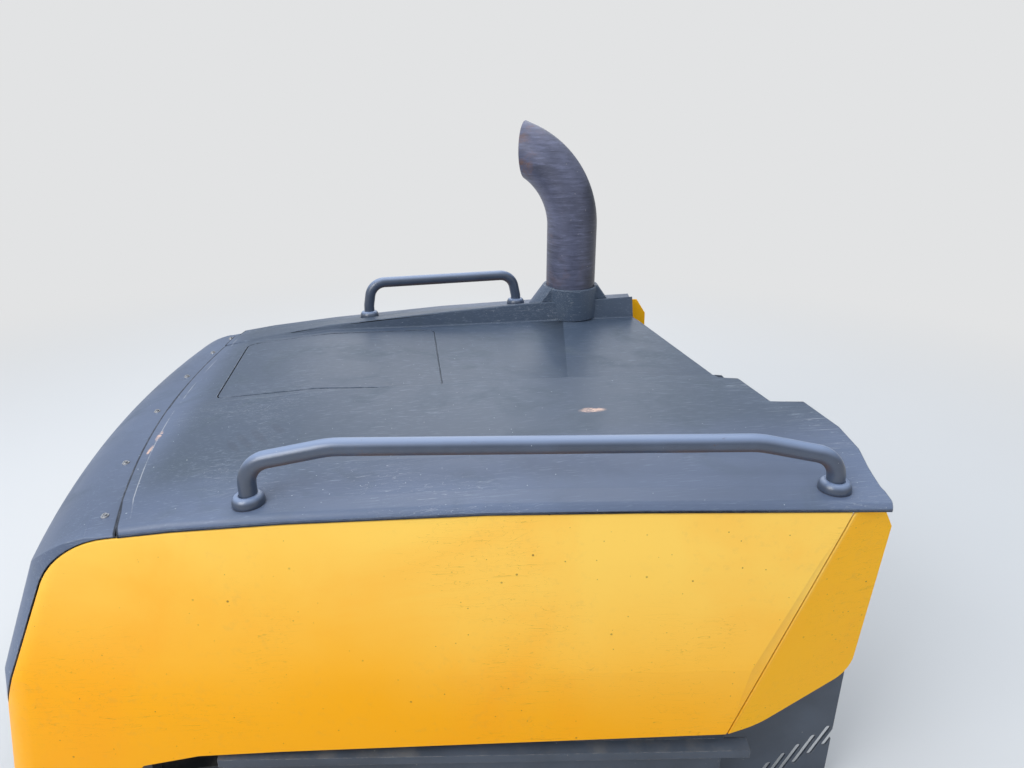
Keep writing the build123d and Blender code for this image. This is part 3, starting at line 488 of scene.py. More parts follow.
def rail_finish(base):
    """Rail enamel: satin slate with a painted highlight on its upper side, flecked, and brown
    with rust below.
    """
    f = Finish("rail_enamel")
    _, _, up = f.separate(f.normal)
    cloud = f.noise(12.0, 5, 0.6, 0.3)
    below = up.band(-0.15, -0.75) * f.noise(9.0, 5, 0.65).band(0.30, 0.60)
    flecks = f.noise(70.0, 5, 0.75).band(0.60, 0.70) * f.noise(6.0, 3, 0.5).band(0.45, 0.65)
    tone = f.coats(f.clouded(base, 0.85, 1.12, cloud.band(0.35, 0.7)), (
        # painted highlight: the upper side of the tube much paler
        (up.band(0.30, 0.95) * 0.8, shade(base, 4.2)),
        (below * 0.8, (0.13, 0.075, 0.05)),
        (flecks * 0.7, (0.08, 0.05, 0.045)),
        (f.specks(130.0, 0.12, 0.05) * 0.6, (0.45, 0.47, 0.50)),
    ))
    rough = 0.27 + cloud * 0.10 + below * 0.3 + flecks * 0.2
    normal = f.bump(f.noise(320.0, 3, 0.5), 0.08, 0.0006)
    return f.surface(tone, rough, 0.0, normal, extra={"Specular IOR Level": 0.8})


SHADED_FOOT = (0.88, 0.74)  # heights between which the stack darkens towards its foot
SHADED_REAR = (0.500, 0.560)  # places between which painted shade comes in on its rear side
HOT_MOUTH = (1.02, 1.20)  # heights between which its rust grows towards the mouth


def exhaust_finish(base):
    """Dark steel tube: wiped streaks around it, heat marks, rust by the mouth and the bend,
    painted shade on its rear side and towards its foot.
    """
    f = Finish("heat_darkened_steel")
    x, _, z = f.separate(f.place)
    around = f.noise(1.0, 4, 0.65, 0.35, f.stretched((16.0, 16.0, 150.0), (0, 0.12, 0)))
    fine = f.noise(1.0, 3, 0.6, 0.1, f.stretched((60.0, 60.0, 700.0), (0, -0.2, 0)))
    cloud = f.noise(6.0, 5, 0.6, 0.7)
    rust = f.noise(18.0, 6, 0.7, 0.4).band(0.50, 0.64) * f.noise(3.5, 3, 0.5).band(0.45, 0.62)
    rust = rust * (0.35 + z.band(*HOT_MOUTH) * 0.65)
    tone = f.coats(f.clouded(base, 0.62, 1.20, cloud.band(0.3, 0.7)), (
        (around.band(0.50, 0.72) * 0.45, shade(base, 2.1)),
        (around.band(0.50, 0.30) * 0.55, shade(base, 0.40)),
        (fine.band(0.60, 0.72) * 0.4, shade(base, 2.4)),
        (z.band(*SHADED_FOOT) * 0.35, shade(base, 0.45)),
        # painted shade: the stack's rear side near black
        (x.band(*SHADED_REAR) * 0.6, (0.016, 0.016, 0.020)),
        (rust * 0.75, (0.24, 0.115, 0.06)),
        (f.specks(90.0, 0.12, 0.06) * 0.5, (0.42, 0.40, 0.40)),
        (f.edges(0.003) * 0.35, (0.34, 0.26, 0.22)),
    ))
    rough = 0.33 + cloud * 0.14 + rust * 0.3
    normal = f.bump(around, 0.10, 0.0010)
    normal = f.bump(cloud, 0.25, 0.004, normal)
    return f.surface(tone, rough, 0.25 - rust * 0.25, normal)


def steel_finish(name, base, rough):
    """Bare steel, brushed crosswise."""
    f = Finish(name)
    fine = f.noise(1.0, 3, 0.6, 0.0, f.stretched((500.0, 60.0, 500.0)))
    cloud = f.noise(25.0, 4, 0.5)
    tone = f.clouded(base, 0.8, 1.1, cloud)
    return f.surface(tone, rough + cloud * 0.12, 1.0, f.bump(fine, 0.08, 0.0005))


def rubber_finish(base):
    """Matt black rubber."""
    f = Finish("black_rubber")
    cloud = f.noise(22.0, 5, 0.6)
    tone = f.clouded(base, 0.8, 1.5, cloud)
    return f.surface(tone, 0.72 + cloud * 0.15, 0.0, f.bump(f.noise(500.0, 2), 0.1, 0.0005))


LAMP_MIDDLE = (0.440, 0.485)  # a headlamp's distance from the middle and height
GLINT_RADIUS, GLINT_FADE = 0.026, (0.016, 0.005)  # the painted highlight ring on the reflector: its radius and fade
BULB_FADE = (0.011, 0.009)
BEZEL_FADE = (0.0375, 0.0385)
FLUTES = 700.0  # radians per metre across the lens


def glass_finish():
    """Headlamp: a fluted lens over a reflector with a painted highlight ring and its bulb, in a
    dark bezel.
    """
    f = Finish("lamp_glass")
    _, y, z = f.separate(f.place)
    film = f.noise(14.0, 4, 0.6)
    across = y.math("ABSOLUTE") - LAMP_MIDDLE[0]
    up = z - LAMP_MIDDLE[1]
    out = (across * across + up * up).math("SQRT")
    bezel = out.band(*BEZEL_FADE)
    # painted highlight: a bright ring on the reflector
    reflector_glint = (out - GLINT_RADIUS).math("ABSOLUTE").band(*GLINT_FADE)
    tone = f.coats(f.mix(reflector_glint, (0.10, 0.12, 0.14), (0.62, 0.66, 0.70)), (
        (out.band(*BULB_FADE), (0.80, 0.79, 0.72)),
        (film * 0.3, (0.45, 0.46, 0.48)),
        (bezel, (0.018, 0.019, 0.022)),
    ))
    normal = f.bump((y * FLUTES).math("SINE"), 0.25, 0.0015)
    rough = 0.10 + film * 0.12 + bezel * 0.3
    return f.surface(tone, rough, 0.0, normal, extra={"Coat Weight": 0.6})


def made_finishes():
    """Every finish by the name of the record's material slot."""
    hues = bpy.context.scene.bonnet_colours
    return {
        "cover_plastic": cover_finish(hues.cover),
        "yellow_paint": panel_finish(hues.panel),
        "rail_paint": rail_finish(hues.rail),
        "exhaust_steel": exhaust_finish(hues.exhaust),
        "frame_paint": paint_finish("frame_enamel", hues.frame),
        "skirt_paint": paint_finish("skirt_enamel", hues.skirt, 0.42, 0.3),
        "pin_steel": steel_finish("ground_steel", (0.56, 0.56, 0.57), 0.28),
        "cylinder_paint": paint_finish("cylinder_enamel", hues.frame, 0.36),
        "rod_chrome": steel_finish("hard_chrome", (0.80, 0.80, 0.82), 0.08),
        "rubber": rubber_finish(hues.rubber),
        "grille_paint": paint_finish("grille_enamel", shade(hues.frame, 0.7), 0.5),
        "lamp_glass": glass_finish(),
    }


finishes = {}


def dress(piece, slot):
    """Give a piece one finish."""
    piece.data.materials.clear()
    piece.data.materials.append(finishes[slot])


class BONNET_OT_finish_parts(bpy.types.Operator):
    """Give every solid of the bonnet its finish"""

    bl_idname = "bonnet.finish_parts"
    bl_label = "Finish the solids"

    def execute(self, context):
        finishes.update(made_finishes())
        for name, node in NODES.items():
            dress(node, SLOT_OF[name])
        return {"FINISHED"}


def plain(piece):
    """The piece with its modifiers applied, as one mesh with none left."""
    made = bpy.data.meshes.new_from_object(
        piece.evaluated_get(bpy.context.evaluated_depsgraph_get())
    )
    piece.modifiers.clear()
    piece.data = made
    return piece


def joined(piece, body, slot):
    """The piece on its body. The slot is not used."""
    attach(piece, body)
    return piece


def placed(name, data):
    """A new object in the scene."""
    made = bpy.data.objects.new(name, data)
    bpy.context.scene.collection.objects.link(made)
    return made


def from_bmesh(name, mesh, slot):
    """A new object from mesh code, with its finish."""
    data = bpy.data.meshes.new(name)
    mesh.to_mesh(data)
    mesh.free()
    data.materials.append(finishes[slot])
    data.shade_smooth()
    return placed(name, data)


WELD = 0.01 * MM  # corners nearer than this are one
FLAT = math.radians(0.5)  # faces that turn less than this are one
SHARP = math.radians(20)  # edges that turn more than this are creases
SLIGHT = math.radians(0.6)  # and between broad faces, edges that turn this much
BROAD = 3e-3  # a broad face's area in square metres
EDGE_SEGMENTS = 4
FACE_WEIGHT = 80  # how far the larger faces decide the shading at a corner
LONG_EDGE = 25 * MM
ALONG = 0.9  # share of a lengthwise edge's run that lies along X


def merged(node):
    """A CAD node's triangles in mesh code, joined at their corners and where they are flat."""
    mesh = bmesh.new()
    mesh.from_mesh(NODES[node].data)
    bmesh.ops.remove_doubles(mesh, verts=mesh.verts, dist=WELD)
    bmesh.ops.dissolve_limit(mesh, angle_limit=FLAT, verts=mesh.verts, edges=mesh.edges)
    return mesh


def lengthwise(edge):
    """Whether an edge is a long one that runs from nose to cab."""
    run = edge.verts[1].co - edge.verts[0].co
    return run.length > LONG_EDGE and abs(run.x) > ALONG * run.length


def every(edge):
    return True


def moulded(node, width, chosen, mesh=None):
    """A CAD node's shape with its chosen creases rounded, in the node's place."""
    mesh = mesh or merged(node)
    weight = mesh.edges.layers.float.new("bevel_weight_edge")
    for edge in mesh.edges:
        turn = edge.calc_face_angle() if edge.is_manifold else 0.0
        edge[weight] = float(turn > SHARP and chosen(edge))
        broad = all(face.calc_area() > BROAD for face in edge.link_faces)
        crease = turn > SHARP or (broad and turn > SLIGHT)
        edge.smooth = edge[weight] > 0 or not crease
    piece = from_bmesh(f"{node}_moulded", mesh, SLOT_OF[node])
    edges = piece.modifiers.new("edges", "BEVEL")
    edges.width = width
    edges.segments = EDGE_SEGMENTS
    edges.limit_method = "WEIGHT"
    edges.use_clamp_overlap = False
    shading = piece.modifiers.new("shading", "WEIGHTED_NORMAL")
    shading.weight = FACE_WEIGHT
    shading.keep_sharp = True
    joined(plain(piece), BODY_OF[node], SLOT_OF[node])
    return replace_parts(piece, node)


EAR_RISE = 0.1232  # the top's slope over the hatch hinge's ears
EAR_FOOT = (-0.490, 0.692)  # a place and height on that slope
EAR_REACH = (-0.500, -0.450)  # the ears lie between these places
EAR_SIDES = ((0.022, 0.072), (0.238, 0.288))
EAR_MARGIN = 0.2 * MM  # corners this little under the slope move too


def even_out_ears(mesh):
    """Bring the tops of the hatch hinge's ears flush with the cover."""
    for corner in mesh.verts:
        x, y, z = corner.co
        top = EAR_FOOT[1] + EAR_RISE * (x - EAR_FOOT[0])
        beside = any(low < y < high for low, high in EAR_SIDES)
        if beside and EAR_REACH[0] < x < EAR_REACH[1] and z > top - EAR_MARGIN:
            corner.co.z = top


LID_EDGE = 0.25  # the thin lid's rounding, over the covers'


class BONNET_OT_covers(bpy.types.Operator):
    """Moulded top cover, nose and hatch lid, with their soft edges"""

    bl_idname = "bonnet.covers"
    bl_label = "Moulded covers"

    def execute(self, context):
        width = context.scene.bonnet_sizes.cover_edge
        top = merged("top_cover")
        even_out_ears(top)
        moulded("top_cover", width, lengthwise, top)
        moulded("nose_cover", width, lengthwise)
        moulded("hatch_lid", width * LID_EDGE, every)
        return {"FINISHED"}


class BONNET_OT_panels(bpy.types.Operator):
    """Painted side and corner panels, and the seals behind the joints between them"""

    bl_idname = "bonnet.panels"
    bl_label = "Painted panels"

    def execute(self, context):
        width = context.scene.bonnet_sizes.panel_edge
        mesh = bmesh.new()
        for name, side in SIDES:
            panels = (f"{name}_side_panel", f"{name}_corner_panel")
            for panel in panels:
                moulded(panel, width, every)
            seal_strip(mesh, side, shape_of(*panels))
        bmesh.ops.recalc_face_normals(mesh, faces=mesh.faces)
        seals = from_bmesh("panel_seals", mesh, "rubber")
        seals.data.shade_flat()
        joined(seals, "bonnet", "rubber")
        return {"FINISHED"}


# Columns: x, z; the joint between side and corner panel, from its top to its foot
SEAL_RUN = ((0.684, 0.682), (0.628, 0.525), (0.573, 0.370), (0.534, 0.262))
SEAL_HALF = 9 * MM  # half of the strip's width
SEAL_OFF = 14 * MM  # from the joint to where the panel's inner face is felt
SEAL_THICK = 2 * MM
SEAL_GAP = 0.5 * MM


def wall(mesh, ring, following):
    """Faces between two closed rings of corners."""
    for step, corner in enumerate(ring):
        after = (step + 1) % len(ring)
        mesh.faces.new((corner, ring[after], following[after], following[step]))


def seal_strip(mesh, side, hit):
    """A flat strip along the panel joint, lying on the panels' inner faces."""
    rings = []
    for x, z in SEAL_RUN:
        felt = [hit((x + off, 0.0, z), (0, side, 0))[0] for off in (-SEAL_OFF, SEAL_OFF)]
        inner = min(abs(place.y) for place in felt)
        ring = []
        for along, depth in ((-1, 0), (1, 0), (1, 1), (-1, 1)):
            y = side * (inner - SEAL_GAP - depth * SEAL_THICK)
            ring.append(mesh.verts.new((x + along * SEAL_HALF, y, z)))
        rings.append(ring)
    for upper, lower in zip(rings, rings[1:]):
        wall(mesh, upper, lower)
    mesh.faces.new(rings[0])
    mesh.faces.new(list(reversed(rings[-1])))


def shape_of(*nodes):
    """Ray casts against some CAD nodes: takes a place and a direction, gives place and normal."""
    corners, faces = [], []
    for node in nodes:
        mesh = NODES[node].data
        first = len(corners)
        corners += [vertex.co.copy() for vertex in mesh.vertices]
        faces += [[first + index for index in face.vertices] for face in mesh.polygons]
    tree = BVHTree.FromPolygons(corners, faces)

    def hit(place, way):
        found, normal, _, _ = tree.ray_cast(Vector(place), Vector(way))
        if found is None:
            raise RuntimeError(f"nothing of {nodes} lies at {place}")
        return found, normal

    return hit


def points(name, seats):
    """Loose points, each with the direction that its copy faces."""
    mesh = bpy.data.meshes.new(name)
    mesh.from_pydata([place for place, _ in seats], [], [])
    facing = mesh.attributes.new("facing", "FLOAT_VECTOR", "POINT")
    facing.data.foreach_set("vector", [part for _, way in seats for part in way])
    return mesh


class Recipe(NodeTree):
    """A Geometry Nodes tree under construction, with the sizes of what it makes as inputs."""

    def __init__(self, name, sizes):
        self.tree = bpy.data.node_groups.new(name, "GeometryNodeTree")
        sockets = self.tree.interface
        sockets.new_socket(name="Geometry", in_out="INPUT", socket_type="NodeSocketGeometry")
        for label, kind in {**sizes, "Finish": "Material"}.items():
            sockets.new_socket(name=label, in_out="INPUT", socket_type=f"NodeSocket{kind}")
        sockets.new_socket(name="Geometry", in_out="OUTPUT", socket_type="NodeSocketGeometry")
        self.given = self.tree.nodes.new("NodeGroupInput")

    def size(self, label):
        """One of the tree's named inputs."""
        return Wire(self, self.given.outputs[label])

    def vector(self, x=0.0, y=0.0, z=0.0):
        return self.node("ShaderNodeCombineXYZ", [x, y, z])

    def raised(self, shape, z):
        shift = self.vector(z=z)
        return self.node(
            "GeometryNodeTransform", {"Geometry": shape, "Translation": shift}
        )

    def join(self, *shapes):
        both = self.tree.nodes.new("GeometryNodeJoinGeometry")
        for shape in shapes:
            self.tree.links.new(shape.socket, both.inputs[0])
        return Wire(self, both.outputs[0])

    def on_points(self, shape):
        """A copy of the shape on each point, turned to face its way."""
        way = self.node(
            "GeometryNodeInputNamedAttribute", {"Name": "facing"}, data_type="FLOAT_VECTOR"
        )
        turn = self.node("FunctionNodeAlignRotationToVector", {"Vector": way}, axis="Z")
        return self.node(
            "GeometryNodeInstanceOnPoints",
            {"Points": self.size("Geometry"), "Instance": shape, "Rotation": turn},
        )

    def finished(self, shape):
        """The end of every tree: real meshes with their finish."""
        real = self.node("GeometryNodeRealizeInstances", [shape])
        dressed = self.node(
            "GeometryNodeSetMaterial", {"Geometry": real, "Material": self.size("Finish")}
        )
        result = self.tree.nodes.new("NodeGroupOutput")
        self.tree.links.new(dressed.socket, result.inputs[0])
        return self

    def grow(self, name, seats, sizes, body, slot):
        """What the tree makes on some points, as a plain mesh on one body."""
        piece = placed(name, points(name, seats))
        nodes = piece.modifiers.new("recipe", "NODES")
        nodes.node_group = self.tree
        given = {**sizes, "Finish": finishes[slot]}
        for item in self.tree.interface.items_tree:
            if item.in_out == "INPUT" and item.name in given:
                nodes[item.identifier] = given[item.name]
        return joined(plain(piece), body, slot)


WASHER_SIDES = 24
WASHER_TAPER = 0.93  # radius of a washer's upper face, over its lower one's
HEAD_TAPER = 0.90  # and of a head's
RECESS_SHARE = 0.58  # width of a recess, over its head's upper face


def fastener():
    """A washer and a head with a recess in its end, on each point."""
    r = Recipe("fastener", {
        "Sides": "Int", "Head radius": "Float", "Head height": "Float",
        "Washer radius": "Float", "Washer height": "Float", "Recess": "Float",
    })
    washer = r.node("GeometryNodeMeshCone", {
        "Vertices": WASHER_SIDES, "Radius Top": r.size("Washer radius") * WASHER_TAPER,
        "Radius Bottom": r.size("Washer radius"), "Depth": r.size("Washer height"),
    })
    head = r.node("GeometryNodeMeshCone", {
        "Vertices": r.size("Sides"), "Radius Top": r.size("Head radius") * HEAD_TAPER,
        "Radius Bottom": r.size("Head radius"), "Depth": r.size("Head height"),
    })
    rim = r.node(
        "GeometryNodeExtrudeMesh",
        {"Mesh": head, "Selection": r.beside(head, "Top"), "Offset Scale": 0.0}, mode="FACES",
    )
    inner = r.beside(rim, "Top")
    rim = r.node(
        "GeometryNodeScaleElements",
        {"Geometry": rim, "Selection": inner, "Scale": RECESS_SHARE}, domain="FACE",
    )
    sunk = r.node(
        "GeometryNodeExtrudeMesh",
        {"Mesh": rim, "Selection": inner, "Offset Scale": r.size("Recess") * -1}, mode="FACES",
    )
    seated = r.raised(sunk, r.size("Washer height"))
    return r.finished(r.on_points(r.join(washer, seated)))


NOSE_SCREWS = (0.499, 0.374, 0.190, -0.031, -0.285, -0.483)  # their places across
SCREW_INSET = 0.026  # from the joint forward to the screws
NOSE_WASHER = 1.6 * MM  # height of the screws' washers
NOSE_RECESS = 1.6 * MM


class BONNET_OT_nose_screws(bpy.types.Operator):
    """Screws with broad washers along the nose's rear edge"""

    bl_idname = "bonnet.nose_screws"
    bl_label = "Nose screws"

    def execute(self, context):
        sizes = context.scene.bonnet_sizes
        hit = shape_of("nose_cover")
        seats = []
        for y in NOSE_SCREWS:
            x = SEAM_FRONT + SEAM_BOW * y * y - SCREW_INSET
            seats.append(hit((x, y, CLEAR), (0, 0, -1)))
        fastener().grow("nose_screws", seats, {
            "Sides": sizes.screw_sides, "Head radius": sizes.screw_radius,
            "Head height": sizes.screw_height, "Washer radius": sizes.washer_radius,
            "Washer height": NOSE_WASHER, "Recess": NOSE_RECESS,
        }, "bonnet", "pin_steel")
        return {"FINISHED"}


BOLT_LEVELS = (0.25, 0.75)  # shares of a crossmember's height
BOLT_WASHER = 1.25  # radius of a bolt's washer, over its head's
BOLT_WASHER_HEIGHT = 2.4 * MM
BOLT_RECESS = 0.6 * MM


class BONNET_OT_frame_bolts(bpy.types.Operator):
    """Hexagon bolts on the sills' outer faces, at the ends of the crossmembers"""

    bl_idname = "bonnet.frame_bolts"
    bl_label = "Frame bolts"

    def execute(self, context):
        sizes = context.scene.bonnet_sizes
        seats = []
        for name, side in SIDES:
            hit = shape_of(f"{name}_sill")
            for member in ("front_crossmember", "rear_crossmember"):
                low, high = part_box(member)
                for level in BOLT_LEVELS:
                    z = low.z + level * (high.z - low.z)
                    place = ((low.x + high.x) / 2, side * CLEAR, z)
                    seats.append(hit(place, (0, -side, 0)))
        fastener().grow("frame_bolts", seats, {
            "Sides": 6, "Head radius": sizes.bolt_radius, "Head height": sizes.bolt_height,
            "Washer radius": sizes.bolt_radius * BOLT_WASHER,
            "Washer height": BOLT_WASHER_HEIGHT, "Recess": BOLT_RECESS,
        }, "root", "pin_steel")
        return {"FINISHED"}


ROUND_STEPS = 40


def turned(mesh, profile, middle, axis, steps=ROUND_STEPS):
    """A solid of revolution in mesh code; its profile is (radius, height), closed on itself."""
    upright = Vector((0, 0, 1)).rotation_difference(Vector(axis))
    rings = []
    for radius, height in profile:
        ring = []
        for step in range(steps):
            angle = step * math.tau / steps
            spoke = Vector((radius * math.cos(angle), radius * math.sin(angle), height))
            ring.append(mesh.verts.new(middle + upright @ spoke))
        rings.append(ring)
    for ring, following in zip(rings, rings[1:] + rings[:1]):
        wall(mesh, ring, following)


RIDGE_EDGE = (0.498, 0.531)  # a point on the right shoulder's inner edge
RIDGE_WAY = (-0.1216, 1.0)  # square to that edge, outward
PIPE_AXIS = (0.498, 0.572)
SEAT_WALL = (76.5 * MM, 83 * MM)  # the turret's inner and outer radius
SEAT_RUN = (0.690, 0.786)  # and its lowest and highest point
SEAT_SOFT = 3 * MM  # rounding of its upper edge
SEAT_STEPS = 64
ROUND_MIDDLE = 0.3  # how far a rounding's middle lies in from its corner


class BONNET_OT_exhaust_seat(bpy.types.Operator):
    """Moulded seat of the exhaust: the collar, cut flush with the shoulder, on a short turret"""

    bl_idname = "bonnet.exhaust_seat"
    bl_label = "Exhaust seat"

    def execute(self, context):
        mesh = merged("exhaust_collar")
        bmesh.ops.bisect_plane(
            mesh, geom=[*mesh.verts, *mesh.edges, *mesh.faces], clear_inner=True,
            plane_co=(*RIDGE_EDGE, 0), plane_no=(*RIDGE_WAY, 0),
        )
        rim = [edge for edge in mesh.edges if edge.is_boundary]
        bmesh.ops.holes_fill(mesh, edges=rim, sides=0)
        inner, outer = SEAT_WALL
        foot, top = SEAT_RUN
        cut = SEAT_SOFT * ROUND_MIDDLE
        profile = [
            (inner, foot), (outer, foot), (outer, top - SEAT_SOFT), (outer - cut, top - cut),
            (outer - SEAT_SOFT, top), (inner, top),
        ]
        turned(mesh, profile, Vector((*PIPE_AXIS, 0)), (0, 0, 1), SEAT_STEPS)
        bmesh.ops.recalc_face_normals(mesh, faces=mesh.faces)
        piece = from_bmesh("exhaust_seat", mesh, SLOT_OF["exhaust_collar"])
        piece.data.set_sharp_from_angle(angle=SHARP)
        joined(piece, BODY_OF["exhaust_collar"], SLOT_OF["exhaust_collar"])
        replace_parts(piece, "exhaust_collar")
        return {"FINISHED"}


RAIL_RADIUS = 15 * MM
BOOT_STEPS = 7
BOOT_TOP = 1.5 * MM  # a boot's flat top round the tube
BOOT_BITE = 1 * MM  # how far it reaches into the tube
BOOT_WALL = 0.25  # share of its height that is upright
BOOT_SUNK = 1.5 * MM  # depth in the cover


def boot_profile(tube, radius, height):
    """A low rounded boot round a tube: out over its foot, up round its shoulder, back in."""
    shoulder = radius - tube - BOOT_TOP
    profile = [(tube - BOOT_BITE, 0.0), (radius, 0.0)]
    for step in range(BOOT_STEPS + 1):
        angle = math.radians(90) * step / BOOT_STEPS
        rise = BOOT_WALL + (1 - BOOT_WALL) * math.sin(angle)
        profile.append((tube + BOOT_TOP + shoulder * math.cos(angle), height * rise))
    profile.append((tube - BOOT_BITE, height))
    return profile


FOOT_REACH = 14 * MM  # height over which a rail's foot is felt


def rail_feet(rail):
    """The middle of the flared foot at each end of a rail."""
    mesh = NODES[rail].data
    low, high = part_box(rail)
    middle = (low.x + high.x) / 2
    feet = []
    for side in (-1, 1):
        ends = [v.co for v in mesh.vertices if (v.co.x - middle) * side > 0]
        floor = min(place.z for place in ends)
        flare = [place for place in ends if place.z < floor + FOOT_REACH]
        corners = [
            (min(place[axis] for place in flare) + max(place[axis] for place in flare)) / 2
            for axis in (0, 1)
        ]
        feet.append(Vector((*corners, floor)))
    return feet


class BONNET_OT_rail_feet(bpy.types.Operator):
    """Round moulded boots where the grab rails enter the top cover"""

    bl_idname = "bonnet.rail_feet"
    bl_label = "Rail feet"

    def execute(self, context):
        sizes = context.scene.bonnet_sizes
        hit = shape_of("top_cover")
        mesh = bmesh.new()
        profile = boot_profile(RAIL_RADIUS, sizes.foot_radius, sizes.foot_height)
        for name, _ in SIDES:
            for foot in rail_feet(f"{name}_grab_rail"):
                seat, up = hit((foot.x, foot.y, CLEAR), (0, 0, -1))
                turned(mesh, profile, seat - up * BOOT_SUNK, up)
        bmesh.ops.recalc_face_normals(mesh, faces=mesh.faces)
        joined(from_bmesh("rail_feet", mesh, "rail_paint"), "bonnet", "rail_paint")
        return {"FINISHED"}


WIRE_STEPS = 12  # corners along a wire
WIRE_SIDES = 5


def debris_screen():
    """Crossed wires over a plane, which then leans and bows as the nose does."""
    r = Recipe("debris_screen", {
        "Width": "Float", "Height": "Float", "Pitch": "Float", "Wire": "Float",
        "Place": "Vector", "Lean": "Float", "Bow": "Float",
    })
    bars = []
    for long, wide, spin in (("Width", "Height", 0), ("Height", "Width", 1)):
        count = (r.size(wide) / r.size("Pitch")).math("FLOOR")
        stop = r.size(long) / 2
        rows = r.node("GeometryNodeMeshLine", {
            "Count": count + 1, "Start Location": r.vector(y=count * r.size("Pitch") * -0.5),
            "Offset": r.vector(y=r.size("Pitch")),
        }, mode="OFFSET")
        wire = r.node(
            "GeometryNodeCurvePrimitiveLine",
            {"Start": r.vector(stop * -1), "End": r.vector(stop)},
        )
        wire = r.node("GeometryNodeResampleCurve", {"Curve": wire, "Count": WIRE_STEPS})
        shape = r.node(
            "GeometryNodeCurvePrimitiveCircle",
            {"Resolution": WIRE_SIDES, "Radius": r.size("Wire")},
        )
        tube = r.node("GeometryNodeCurveToMesh", {"Curve": wire, "Profile Curve": shape})
        row = r.node("GeometryNodeInstanceOnPoints", {"Points": rows, "Instance": tube})
        row = r.raised(row, r.size("Wire") * (1 - 2 * spin))
        bars.append(r.node(
            "GeometryNodeTransform",
            {"Geometry": row, "Rotation": (0, 0, spin * math.radians(90))},
        ))
    flat = r.node("GeometryNodeRealizeInstances", [r.join(*bars)])
    across, up, out = r.separate(r.node("GeometryNodeInputPosition"))
    back = across * across * r.size("Bow") + up * r.size("Lean") + out
    stood = r.vector(back, across, up)
    stood = r.node("ShaderNodeVectorMath", [stood, r.size("Place")], operation="ADD")
    bowed = r.node("GeometryNodeSetPosition", {"Geometry": flat, "Position": stood})
    return r.finished(bowed)


SCREEN_BORDER = 24 * MM  # of the grille's height and width that the screen leaves out
SCREEN_GAP = 2.5 * MM  # from the grille's rear face to the screen's middle
FEEL_INSET = 0.5 * MM  # keeps the ray at the side off the grille's own edge


class BONNET_OT_debris_screen(bpy.types.Operator):
    """Woven screen behind the grille's slots"""

    bl_idname = "bonnet.debris_screen"
    bl_label = "Debris screen"

    def execute(self, context):
        sizes = context.scene.bonnet_sizes
        low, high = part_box("grille")
        middle = (low.z + high.z) / 2
        hit = shape_of("grille")
        column = FEEL_INSET + low.y + SCREEN_BORDER / 2
        head, foot, end = [hit((CLEAR, y, z), (-1, 0, 0))[0].x for y, z in (
            (0.0, high.z - SCREEN_BORDER / 2), (0.0, low.z + SCREEN_BORDER / 2),
            (column, middle),
        )]
        tall = high.z - low.z - SCREEN_BORDER
        centre = (head + foot) / 2
        debris_screen().grow("debris_screen", [((0, 0, 0), (1, 0, 0))], {
            "Width": high.y - low.y - SCREEN_BORDER, "Height": tall,
            "Pitch": sizes.wire_pitch, "Wire": sizes.wire_radius,
            "Place": (centre + SCREEN_GAP, 0.0, middle),
            "Lean": (head - foot) / tall, "Bow": (end - centre) / column ** 2,
        }, "bonnet", "pin_steel")
        return {"FINISHED"}


FLOOR_REACH = 30.0
FLOOR_FADE = (1.7, 4.5)  # the floor turns into plain backdrop between these distances
SENSOR = 36.0  # millimetres across
SIGHT = 200.0  # how far the camera sees
LAMP_AIM = Vector((0, 0, 0.5))
# The world's light: its tone, its strength at the foot of its rise and what the rise adds
# towards the zenith, and how much weaker it is from the rear than from the middle
SKY_TONE = (0.84, 0.91, 1.0)
SKY_FOOT, SKY_RISE, SKY_REAR = 0.44, 0.60, 0.20
SKY_BAND = (-0.1, 0.9)
# Columns: name, place, size, power in watts
LAMPS = (
    ("key", (-2.6, -2.2, 3.2), 2.4, 92),
    ("fill", (2.8, -2.6, 2.2), 3.0, 7),
    ("overhead", (0.0, 0.9, 4.2), 4.0, 54),
    ("back", (0.6, 4.0, 2.6), 3.0, 30),
)


def seen_directly(tree):
    """1 for what the camera sees, straight or in a gloss or through glass."""
    rays = tree.node("ShaderNodeLightPath", out="Is Camera Ray")
    seen = rays.math("MAXIMUM", tree.beside(rays, "Is Glossy Ray"))
    return seen.math("MAXIMUM", tree.beside(rays, "Is Transmission Ray"))


def floor_finish(base):
    """Pale floor that keeps the bonnet's shadow and fades to the backdrop's tone."""
    f = Finish("studio_floor")
    tone = f.clouded(base, 0.80, 0.83, f.noise(0.8, 3))
    lit = f.shader(tone, 0.8, extra={"Specular IOR Level": 0.1})
    glow = f.node("ShaderNodeEmission", {"Color": base, "Strength": 1.0})
    away = f.node("ShaderNodeVectorMath", [f.place], "Value", operation="LENGTH")
    fade = away.band(*FLOOR_FADE) * seen_directly(f)
    return f.ended(f.node("ShaderNodeMixShader", [fade, lit, glow]))


class Sky(NodeTree):
    """The studio's world: soft light from above, and a plain backdrop where it is seen."""

    def __init__(self, backdrop):
        self.world = bpy.data.worlds.new("studio")
        self.world.use_nodes = True
        self.tree = self.world.node_tree
        self.tree.nodes.clear()
        x, _, z = self.separate(self.node("ShaderNodeTexCoord", out="Generated"))
        strength = SKY_FOOT + z.band(*SKY_BAND) * SKY_RISE - x * SKY_REAR
        light = self.node(
            "ShaderNodeBackground", {"Color": SKY_TONE, "Strength": strength}
        )
        plain_tone = self.node(
            "ShaderNodeBackground", {"Color": backdrop, "Strength": 1.0}
        )
        camera = self.node("ShaderNodeLightPath", out="Is Camera Ray")
        both = self.node("ShaderNodeMixShader", [camera, light, plain_tone])
        result = self.tree.nodes.new("ShaderNodeOutputWorld")
        self.tree.links.new(both.socket, result.inputs["Surface"])


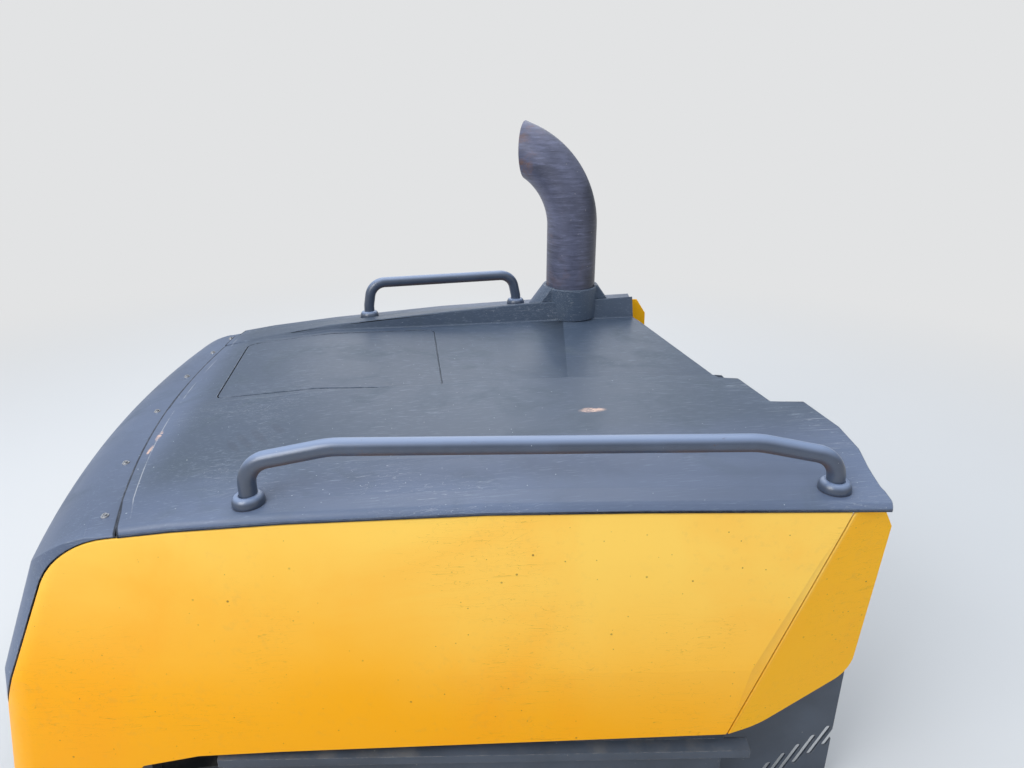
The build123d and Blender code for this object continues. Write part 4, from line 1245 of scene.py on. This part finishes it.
class BONNET_OT_stage(bpy.types.Operator):
    """Floor, light and camera"""

    bl_idname = "bonnet.stage"
    bl_label = "Stage"

    def execute(self, context):
        scene = context.scene
        settings = scene.bonnet_stage
        scene.view_settings.view_transform = "Standard"

        camera = placed("camera", bpy.data.cameras.new("camera"))
        camera.data.lens = settings.lens
        camera.data.sensor_width = SENSOR
        camera.data.clip_end = SIGHT
        camera.location = settings.eye
        camera.rotation_euler = (math.radians(90) - settings.pitch, 0, -settings.yaw)
        scene.camera = camera

        tone = scene.bonnet_colours.floor
        mesh = bpy.data.meshes.new("floor")
        corners = [(-1, -1, 0), (1, -1, 0), (1, 1, 0), (-1, 1, 0)]
        mesh.from_pydata([Vector(place) * FLOOR_REACH for place in corners], [], [(0, 1, 2, 3)])
        mesh.materials.append(floor_finish(tone))
        floor = placed("floor", mesh)
        scene.world = Sky(tone).world

        for name, place, size, power in LAMPS:
            lamp = placed(name, bpy.data.lights.new(name, "AREA"))
            lamp.data.size = size
            lamp.data.energy = power
            lamp.location = place
            aim = LAMP_AIM - Vector(place)
            lamp.rotation_euler = aim.to_track_quat("-Z", "Y").to_euler()
        return {"FINISHED"}


class BONNET_PT_panel(bpy.types.Panel):
    """Sidebar panel with the bonnet's settings and steps"""

    bl_label = "Bonnet"
    bl_idname = "BONNET_PT_panel"
    bl_space_type = "VIEW_3D"
    bl_region_type = "UI"
    bl_category = "Bonnet"

    def draw(self, context):
        for group in GROUPS:
            settings = getattr(context.scene, group)
            for key in GROUPS[group].__annotations__:
                self.layout.prop(settings, key)
        for step in STEPS:
            self.layout.operator(step.bl_idname)


GROUPS = {
    "bonnet_colours": BonnetColours,
    "bonnet_sizes": BonnetSizes,
    "bonnet_stage": StageSettings,
}
STEPS = (
    BONNET_OT_finish_parts,
    BONNET_OT_covers,
    BONNET_OT_panels,
    BONNET_OT_nose_screws,
    BONNET_OT_exhaust_seat,
    BONNET_OT_rail_feet,
    BONNET_OT_frame_bolts,
    BONNET_OT_debris_screen,
    BONNET_OT_stage,
)


def register():
    for name, group in GROUPS.items():
        bpy.utils.register_class(group)
        setattr(bpy.types.Scene, name, PointerProperty(type=group))
    for step in STEPS:
        bpy.utils.register_class(step)
    bpy.utils.register_class(BONNET_PT_panel)


def unregister():
    bpy.utils.unregister_class(BONNET_PT_panel)
    for step in reversed(STEPS):
        bpy.utils.unregister_class(step)
    for name, group in GROUPS.items():
        delattr(bpy.types.Scene, name)
        bpy.utils.unregister_class(group)


def main():
    """Register the add-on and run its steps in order."""
    register()
    for step in STEPS:
        area, verb = step.bl_idname.split(".")
        getattr(getattr(bpy.ops, area), verb)()


if __name__ == "__main__":
    main()
